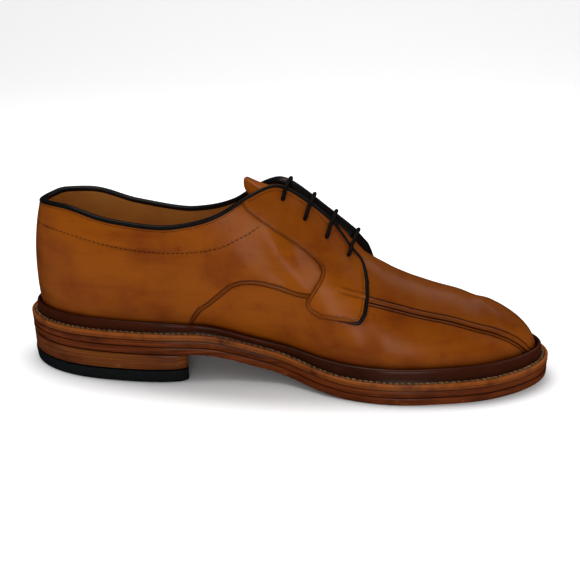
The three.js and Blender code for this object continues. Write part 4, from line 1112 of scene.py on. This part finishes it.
def makeWelt():
    joint = 0.9 * bell(shareAt(ringTurns), weltSizes["joint"], 0.0016) * (ringTurns > 0)
    loops = soleLoops(ringTurns, [(inset, weltTop + lift) for inset, lift in weltSection(ringTurns)])
    points, faces = sweptLoops(loops, ring=True)
    # shade: painted shade in the stitch groove and where the rib meets the upper, and a dark line on the edge
    shade = np.array([0.2, 0.1, 0.2, 0.5, 0.2, 0, 0, 0, 0, 0.1, 0.6, 0.9, 0.9, 0.8, 0.4, 0.1, 0, 0, 0, 0, 0.2,
                      0.8] + [1] * 6)
    rubbed = np.array([0.2, 0.5, 0.7, 0.4, 0.8, 0.9, 1, 1, 1, 0.8, 0.2] + [0] * 17)
    addPiece("storm_welt_dressed", points, faces, weltLeather, ("storm_welt",),
             {"burnishAndShade": shade + joint[:, None],
              "rubbed": np.tile(rubbed, len(ringTurns))}, 60)


halfTurns = ringTurns[:len(ringTurns) // 2 + 1]


# A flat layer of the bottom: rounded side faces and a grid across it, above and below
def makeLayer(name, side, finish, replaced, shade=None, across=25):
    loops = [soleLoops(sign * halfTurns, side) for sign in (1, -1)]
    share = np.linspace(0, 1, across)[None, 1:-1, None]
    top = loops[0][:, -1:, :] * (1 - share) + loops[1][:, -1:, :] * share
    low = loops[0][:, :1, :] * share + loops[1][:, :1, :] * (1 - share)
    whole = np.concatenate([loops[0], top, loops[1][:, ::-1, :], low], axis=1)
    points, faces = sweptLoops(whole)
    values = np.zeros(whole.shape[:2])
    if shade is not None:
        values[:, :len(side)] = shade
        values[:, len(side) + across - 2:2 * len(side) + across - 2] = np.array(shade)[::-1]
    addPiece(name, points, faces[:-2], finish, replaced, {"burnishAndShade": values}, 50)


makeWelt()
makeLayer("midsole_dressed", [(inset, midsoleBase + lift) for inset, lift in (
    (1.2, 0), (0.35, 0.02), (0.16, 0.3), (0.12, 1.9), (0.16, 3.5), (0.35, 3.78), (1.2, 3.8))],
    soleEdge, ("midsole",), (1, 0.9, 0.15, 0, 0.1, 0.8, 1))
makeLayer("outsole_dressed", ((2.4, 0.0), (1.1, 0.02), (0.5, 0.25), (0.14, 0.75), (0.02, 1.5), (0.0, 3.2),
                              (0.10, 4.3), (0.32, 4.57), (1.2, 4.6)),
          soleEdge, ("outsole",), (0, 0.1, 0.3, 0.25, 0.1, 0, 0.1, 0.8, 1), 33)


def makeInsole():
    inset = featherInset(halfTurns) + upperSizes["wall"]
    rim = [(inset + extra, upperBase + lift) for extra, lift in ((0.4, 0.0), (0.3, 1.6), (0.6, 2.5), (1.6, 3.0))]
    left, right = (soleLoops(sign * halfTurns, rim) for sign in (1, -1))
    share = np.linspace(0, 1, 21)[None, 1:-1, None]
    top = left[:, -1:, :] * (1 - share) + right[:, -1:, :] * share
    low = left[:, :1, :] * share + right[:, :1, :] * (1 - share)
    dish = 1.1 * np.sin(np.pi * share) * (1 - smoothStep(shareAt(halfTurns), 0.25, 0.6))[:, None, None]
    top = top - dish * np.array([0, 0, 1])
    points, faces = sweptLoops(np.concatenate([left, top, right[:, ::-1], low], axis=1))
    addPiece("insole_dressed", points, faces[:-2], lining, ("insole",),
             {"burnishAndShade": np.zeros(len(points))}, 60)


makeInsole()

heelSizes = {
    "inner": 106.0, "outer": 86.0, "roundings": 14, "hollow": 3.0, "inset": 0.1, "taper": -0.1, "steps": 130,
}


def heelLoop(inset, heightAt):
    ends = [math.acos(1 - 2 * heelSizes[key] / soleSizes["length"]) for key in ("outer", "inner")]
    flats = insetFlat(np.linspace(-ends[0], ends[1], heelSizes["steps"] + 1), inset)
    share = np.linspace(0, 1, 61)[1:-1, None]
    breast = flats[-1] * (1 - share) + flats[0] * share
    breast[:, 0] -= heelSizes["hollow"] * 4 * share[:, 0] * (1 - share[:, 0])
    flats = np.concatenate([flats, breast])
    for _ in range(heelSizes["roundings"]):
        softer = (np.roll(flats, 1, axis=0) + 2 * flats + np.roll(flats, -1, axis=0)) / 4
        near = np.zeros((len(flats), 1))
        for corner in (0, heelSizes["steps"]):
            near[np.arange(corner - 8, corner + 9) % len(flats)] = 1
        flats = flats * (1 - near) + softer * near
    return np.concatenate([flats, heightAt(flats[:, 0])[:, None]], axis=1)


def makeHeelBlock(name, rows, finish, replaced, shade):
    loops = np.stack([heelLoop(inset, heightOf) for inset, heightOf in rows])
    count, around = loops.shape[:2]
    index = np.arange(count * around).reshape(count, around)
    turned = np.roll(index, -1, axis=1)
    faces = stacked(index[:-1], turned[:-1], turned[1:], index[1:]).reshape(-1, 4).tolist()
    faces += [index[0][::-1].tolist(), index[-1].tolist()]
    values = {"burnishAndShade": np.repeat(shade, around)}
    addPiece(name, loops.reshape(-1, 3), faces, finish, replaced, values, 50)


def flatAt(height):
    return lambda x: np.full(np.shape(x), float(height))


def betweenAt(share):
    return lambda x: soleSizes["topLift"] * (1 - share) + (underside(x) - soleSizes["gap"]) * share


def insetBetween(share):
    return heelSizes["inset"] + heelSizes["taper"] * 0.6 * (1 - share)


liftRows = [(insetBetween(0) + 0.3, betweenAt(0.0)), (insetBetween(0.02), betweenAt(0.03))]
liftShade = [0.9, 0.3]
for cut in (1 / 3, 2 / 3):
    for away, deep, shade in ((-0.05, 0, 0.0), (-0.02, 0.03, 0.2), (0, 0.16, 0.85), (0.02, 0.03, 0.2),
                              (0.05, 0, 0.0)):
        liftRows.append((insetBetween(cut + away) + deep, betweenAt(cut + away)))
        liftShade.append(shade)
liftRows += [(insetBetween(0.97), betweenAt(0.97)), (insetBetween(1) + 0.3, betweenAt(1.0))]
liftShade += [0.3, 0.9]
makeHeelBlock("heel_lifts_dressed", liftRows, heelEdge, ("heel_lifts",), liftShade)
rubberInset = heelSizes["inset"] + heelSizes["taper"]
rubberRows = ((1.6, 0), (0.7, 0.25), (0.15, 0.9), (-0.1, 2.2), (-0.45, 6.9), (-0.35, 7.35), (-0.1, 7.5))
makeHeelBlock("top_lift_dressed", [(rubberInset + inset, flatAt(height)) for inset, height in rubberRows],
              rubber, ("top_lift",), [0] * len(rubberRows))
print("bottom and heel ready")


# Stitches: one tree sets a small rounded stitch on each point, along the seam and flat on the leather
def makeStitchTree():
    tree = bpy.data.node_groups.new("stitches along a seam", "GeometryNodeTree")
    for label, kind in (("Points", "Geometry"), ("Length", "Float"), ("Width", "Float"), ("Height", "Float"),
                        ("Unevenness", "Float"), ("Seed", "Int"), ("Thread", "Material")):
        tree.interface.new_socket(label, in_out="INPUT", socket_type="NodeSocket" + kind)
    tree.interface.new_socket("Stitches", in_out="OUTPUT", socket_type="NodeSocketGeometry")
    given = nodeIn(tree, "NodeGroupInput").outputs
    ball = nodeIn(tree, "GeometryNodeMeshUVSphere", {"Segments": 8, "Rings": 5, "Radius": 0.5})
    size = nodeIn(tree, "ShaderNodeCombineXYZ", {0: given["Length"], 1: given["Width"], 2: given["Height"]})
    stitch = nodeIn(tree, "GeometryNodeTransform", {"Geometry": ball.outputs["Mesh"],
                                                    "Scale": size.outputs[0]})
    along, facing = (nodeIn(tree, "GeometryNodeInputNamedAttribute", data_type="FLOAT_VECTOR")
                     for _ in range(2))
    along.inputs["Name"].default_value = "along"
    facing.inputs["Name"].default_value = "facing"
    turn = nodeIn(tree, "FunctionNodeAxesToRotation", {0: along.outputs[0], 1: facing.outputs[0]},
                  primary_axis="X", secondary_axis="Z")
    low, high = (mathIn(tree, operation, 1.0, given["Unevenness"]) for operation in ("SUBTRACT", "ADD"))
    uneven = nodeIn(tree, "FunctionNodeRandomValue", {2: low, 3: high, "Seed": given["Seed"]},
                    data_type="FLOAT")
    spots = nodeIn(tree, "GeometryNodeInstanceOnPoints", {
        "Points": given["Points"], "Instance": stitch.outputs[0], "Rotation": turn.outputs[0],
        "Scale": uneven.outputs[1]})
    real = nodeIn(tree, "GeometryNodeRealizeInstances", {0: spots.outputs[0]})
    finish = nodeIn(tree, "GeometryNodeSetMaterial", {"Geometry": real.outputs[0],
                                                      "Material": given["Thread"]})
    nodeIn(tree, "NodeGroupOutput", {0: finish.outputs[0]})
    return tree


stitchTree = makeStitchTree()


def makeStitches(name, rows, sizes, thread, seed):
    points = np.concatenate([row[0] for row in rows])
    alongs = np.concatenate([row[1] for row in rows])
    facings = np.concatenate([row[2] for row in rows])
    mesh = bpy.data.meshes.new(name + "_points")
    mesh.from_pydata((points * mm).tolist(), [], [])
    for key, vectors in (("along", alongs), ("facing", facings)):
        layer = mesh.attributes.new(key, "FLOAT_VECTOR", "POINT")
        layer.data.foreach_set("vector", np.asarray(vectors, np.float32).ravel())
    piece = addObject(name + "_points", mesh)
    modifier = piece.modifiers.new("stitches", "NODES")
    modifier.node_group = stitchTree
    values = {"Length": sizes["length"] * mm, "Width": sizes["width"] * mm, "Height": sizes["height"] * mm,
              "Unevenness": sizes["uneven"], "Seed": seed, "Thread": thread}
    for item in stitchTree.interface.items_tree:
        if item.in_out == "INPUT" and item.name in values:
            modifier[item.identifier] = values[item.name]
    bpy.context.view_layer.update()
    evaluated = piece.evaluated_get(bpy.context.evaluated_depsgraph_get())
    made = bpy.data.meshes.new_from_object(evaluated)
    made.name = name
    bpy.data.objects.remove(piece)
    for key in [layer.name for layer in made.attributes if layer.name in ("along", "facing")]:
        made.attributes.remove(made.attributes[key])
    placeMesh(name, made, thread, (), 180)
    print(name, len(points), "stitches")


# Even places along a line on the leather, each with its direction and its outward normal
def seamRow(side, share, height, lift, pitch, skip=0.5):
    turn = turnAt(share, side)
    line = formAt(turn, height, lift)
    normal = outwardAt(turn, height)
    lengths = lengthsOf(line)
    count = max(2, int(lengths[-1] / pitch))
    even = (np.arange(count) + skip) * lengths[-1] / count
    pick = lambda grid: np.stack([np.interp(even, lengths, grid[:, axis]) for axis in range(3)], axis=-1)
    return pick(line), unit(pick(unit(np.gradient(line, axis=0)))), unit(pick(normal))


def besideSeam(side, share, away):
    turn = turnAt(share, side)
    heights, lengths = columnLengths(turn)
    seam = np.clip(seamHeight(share), 0.012, 1)
    base = lengthAt(heights, lengths, seam)
    return heightAt(heights, lengths, np.clip(base + away / slantOf(share, side), 0, lengths[:, -1]))


bicycleRows, quarterRows, collarRows, bindingRows, tabRows = [], [], [], [], []
for side in sides:
    share = np.linspace(0.6735, 0.984, 260)
    for away in (2.35, -2.48):
        bicycleRows.append(seamRow(side, share, besideSeam(side, share, away), np.full(260, -0.10), 1.75))
    share = np.linspace(0.352, 0.572, 200)
    for away in (0.62, 2.70):
        quarterRows.append(seamRow(side, share, besideSeam(side, share, away), np.full(200, 0.72), 1.8))
    share = np.linspace(0.015, 0.474, 300)
    tall = np.interp(share, collarRow["at"], collarRow["height"])
    lift = 0.74 + softLift(lastAt(turnAt(share, side), tall), side, "quarter")
    collarRows.append(seamRow(side, share, tall, lift, 2.6))
    turn = turnAt(np.linspace(0.0, 0.448, 300), side)
    heights, lengths = columnLengths(turn)
    under = heightAt(heights, lengths, lengths[:, -1] - 1.95)
    bindingRows.append(seamRow(side, shareAt(turn), under, np.full(300, 0.80), 1.5))
    share = np.linspace(0.452, 0.596, 120)
    turn = turnAt(share, side)
    heights, lengths = columnLengths(turn)
    tall = heightAt(heights, lengths, lengths[:, -1] - 2.6 - 1.6 * smoothStep(share, 0.57, 0.596))
    over = underEyestay(share, tall, side) + eyestaySizes["thickness"]
    bindingRows.append(seamRow(side, share, tall, over, 1.5))
    share, tall = eyestayOutline(side)
    base = underEyestay(share, tall, side)
    edge = formAt(turnAt(share, side), tall, base)
    normal = outwardAt(turnAt(share, side), tall)
    inward = unit(np.cross(unit(np.gradient(edge, axis=0)), normal)) * (-1 if side == "medial" else 1)
    onFront = smoothStep(np.arange(len(edge)), len(edge) * 0.47, len(edge) * 0.49)
    plain = smoothStep(tall, 0.615, 0.665) * (1 - onFront)
    line = edge + inward * (2.05 + 0.85 * onFront - 1.05 * plain)[:, None]
    line = line + normal * (eyestaySizes["thickness"] - 0.14 + 0.14 * onFront)[:, None]
    even = resample(np.concatenate([line, normal], axis=1)[2:-4], spacing=1.6)
    tabRows.append((even[:, :3], unit(np.gradient(even[:, :3], axis=0)), unit(even[:, 3:])))

stitchSizes = {
    "seam": {"length": 1.40, "width": 0.56, "height": 0.48, "uneven": 0.08},
    "collar": {"length": 1.75, "width": 0.50, "height": 0.42, "uneven": 0.08},
    "fine": {"length": 1.10, "width": 0.40, "height": 0.36, "uneven": 0.06},
    "welt": {"length": 3.6, "width": 1.60, "height": 1.20, "uneven": 0.10},
    "hole": {"length": 0.9, "width": 1.1, "height": 0.7, "uneven": 0.1},
}
for seed, (name, rows, kind, thread) in enumerate((
        ("bicycle", bicycleRows, "seam", darkThread), ("quarter", quarterRows, "seam", darkThread),
        ("collar", collarRows, "collar", darkThread), ("binding", bindingRows, "fine", blackThread),
        ("eyestay", tabRows, "fine", darkThread)), 3):
    makeStitches("stitches_" + name, rows, stitchSizes[kind], thread, seed)

closedTurns = np.append(ringTurns, ringTurns[0])
weltLine = solePoint(closedTurns, weltSizes["lip"] + 1.2, weltTop - weltSizes["grooveDepth"])
even = resample(weltLine, spacing=3.35)[:-1]
along = unit(np.roll(even, -1, axis=0) - np.roll(even, 1, axis=0))
upright = np.tile(np.array([0.0, 0, 1]), (len(even), 1))
level = unit(np.cross(along, upright))
tilted = unit(along + level * 0.24)
makeStitches("stitches_welt", [(even + upright * 0.42, tilted, upright)], stitchSizes["welt"], paleThread,
             8)
# Dark bumps between the welt stitches: painted shade in the awl holes
between = (even + np.roll(even, -1, axis=0)) / 2
makeStitches("hole_shade_welt", [(between + upright * 0.10, along, upright)], stitchSizes["hole"], holeShade,
             9)

# Stage, light and camera
stageLook = {"floor": (0.80, 0.80, 0.805, 1), "paintedGlow": 0.55, "paintedBackShade": 0.10, "worldStrength": 0.32,
             "shadowHalves": (0.165, 0.062)}


def makeStage():
    mesh = bpy.data.meshes.new("floor")
    rows = [(-1.5, 0.0), (1.2, 0.0)]
    for step in range(1, 13):
        angle = step / 12 * math.pi / 2
        rows.append((1.2 + 0.8 * math.sin(angle), 0.8 * (1 - math.cos(angle))))
    rows.append((2.0, 3.0))
    points = [(x, y, z) for y, z in rows for x in (-3.0, 3.0)]
    faces = [(2 * row, 2 * row + 1, 2 * row + 3, 2 * row + 2) for row in range(len(rows) - 1)]
    mesh.from_pydata(points, [], faces)
    mesh.shade_smooth()
    floor = addObject("floor", mesh)
    material, tree, shader = newMaterial("pale floor with painted glow", 0.7, specular=0.2)
    shader.inputs["Base Color"].default_value = stageLook["floor"]
    shader.inputs["Emission Color"].default_value = (1, 1, 1, 1)
    # Painted light: the floor glows outside an ellipse round the shoe, which leaves a painted shadow under and
    # beside it; the glow is dimmed towards the back wall as painted shade
    coords = nodeIn(tree, "ShaderNodeTexCoord").outputs["Object"]
    axes = nodeIn(tree, "ShaderNodeSeparateXYZ", {0: coords})
    squeeze = [1 / half for half in stageLook["shadowHalves"]] + [0]
    flat = nodeIn(tree, "ShaderNodeMapping", {"Vector": coords, "Scale": squeeze})
    far = nodeIn(tree, "ShaderNodeVectorMath", {0: flat.outputs[0]}, operation="LENGTH").outputs["Value"]
    paintedGlow = mathIn(tree, "MULTIPLY", stretchIn(tree, far, 0.78, 1.25), stageLook["paintedGlow"])
    back = mathIn(tree, "MULTIPLY", stretchIn(tree, axes.outputs[1], 0.15, 0.7), stageLook["paintedBackShade"])
    tree.links.new(mathIn(tree, "SUBTRACT", paintedGlow, back), shader.inputs["Emission Strength"])
    mesh.materials.append(material)
    floor.visible_glossy = False


def makeLight(name, place, target, size, power):
    lamp = bpy.data.lights.new(name, "AREA")
    lamp.shape = "RECTANGLE"
    lamp.size, lamp.size_y = size
    lamp.energy = power
    holder = addObject(name, lamp)
    holder.location = place
    holder.rotation_euler = (Vector(target) - Vector(place)).to_track_quat("-Z", "Y").to_euler()


# Place, target, size and power of each light
lightLooks = {
    "soft box overhead": ((-0.15, 0.10, 1.25), (0, 0, 0.03), (0.8, 0.6), 8.5),
    "soft box front": ((0.17, -1.25, 0.36), (0.02, 0, 0.05), (0.42, 0.55), 3.2),
    "soft box right": ((1.1, -0.35, 0.7), (0, 0, 0.05), (0.5, 0.7), 0.8),
    "soft box behind": ((0.50, 0.72, 0.86), (0.06, 0, 0.05), (0.9, 0.5), 1.7),
}
makeStage()
for name, look in lightLooks.items():
    makeLight(name, *look)
world = bpy.data.worlds.new("pale room")
world.use_nodes = True
world.node_tree.nodes["Background"].inputs[0].default_value = (1, 1, 1, 1)
world.node_tree.nodes["Background"].inputs[1].default_value = stageLook["worldStrength"]
bpy.context.scene.world = world
world.cycles_visibility.glossy = False
bpy.context.scene.view_settings.view_transform = "Standard"

cameraSizes = {
    "target": (5.4, -5.97, 46.0), "azimuth": 8.5, "elevation": 22.1, "distance": 448.0, "roll": -0.88,
    "lens": 47.6,
}
lens = bpy.data.cameras.new("camera")
lens.sensor_fit = "HORIZONTAL"
lens.sensor_width = 36.0
lens.lens = cameraSizes["lens"]
lens.clip_start = 0.01
camera = addObject("camera", lens)
azimuth, elevation = math.radians(cameraSizes["azimuth"]), math.radians(cameraSizes["elevation"])
towards = Vector((math.sin(azimuth) * math.cos(elevation), -math.cos(azimuth) * math.cos(elevation),
                  math.sin(elevation)))
camera.location = (Vector(cameraSizes["target"]) + towards * cameraSizes["distance"]) * mm
turned = towards.to_track_quat("Z", "Y") @ Quaternion((0, 0, 1), math.radians(cameraSizes["roll"]))
camera.rotation_euler = turned.to_euler()
bpy.context.scene.camera = camera
print("stage, light and camera ready")
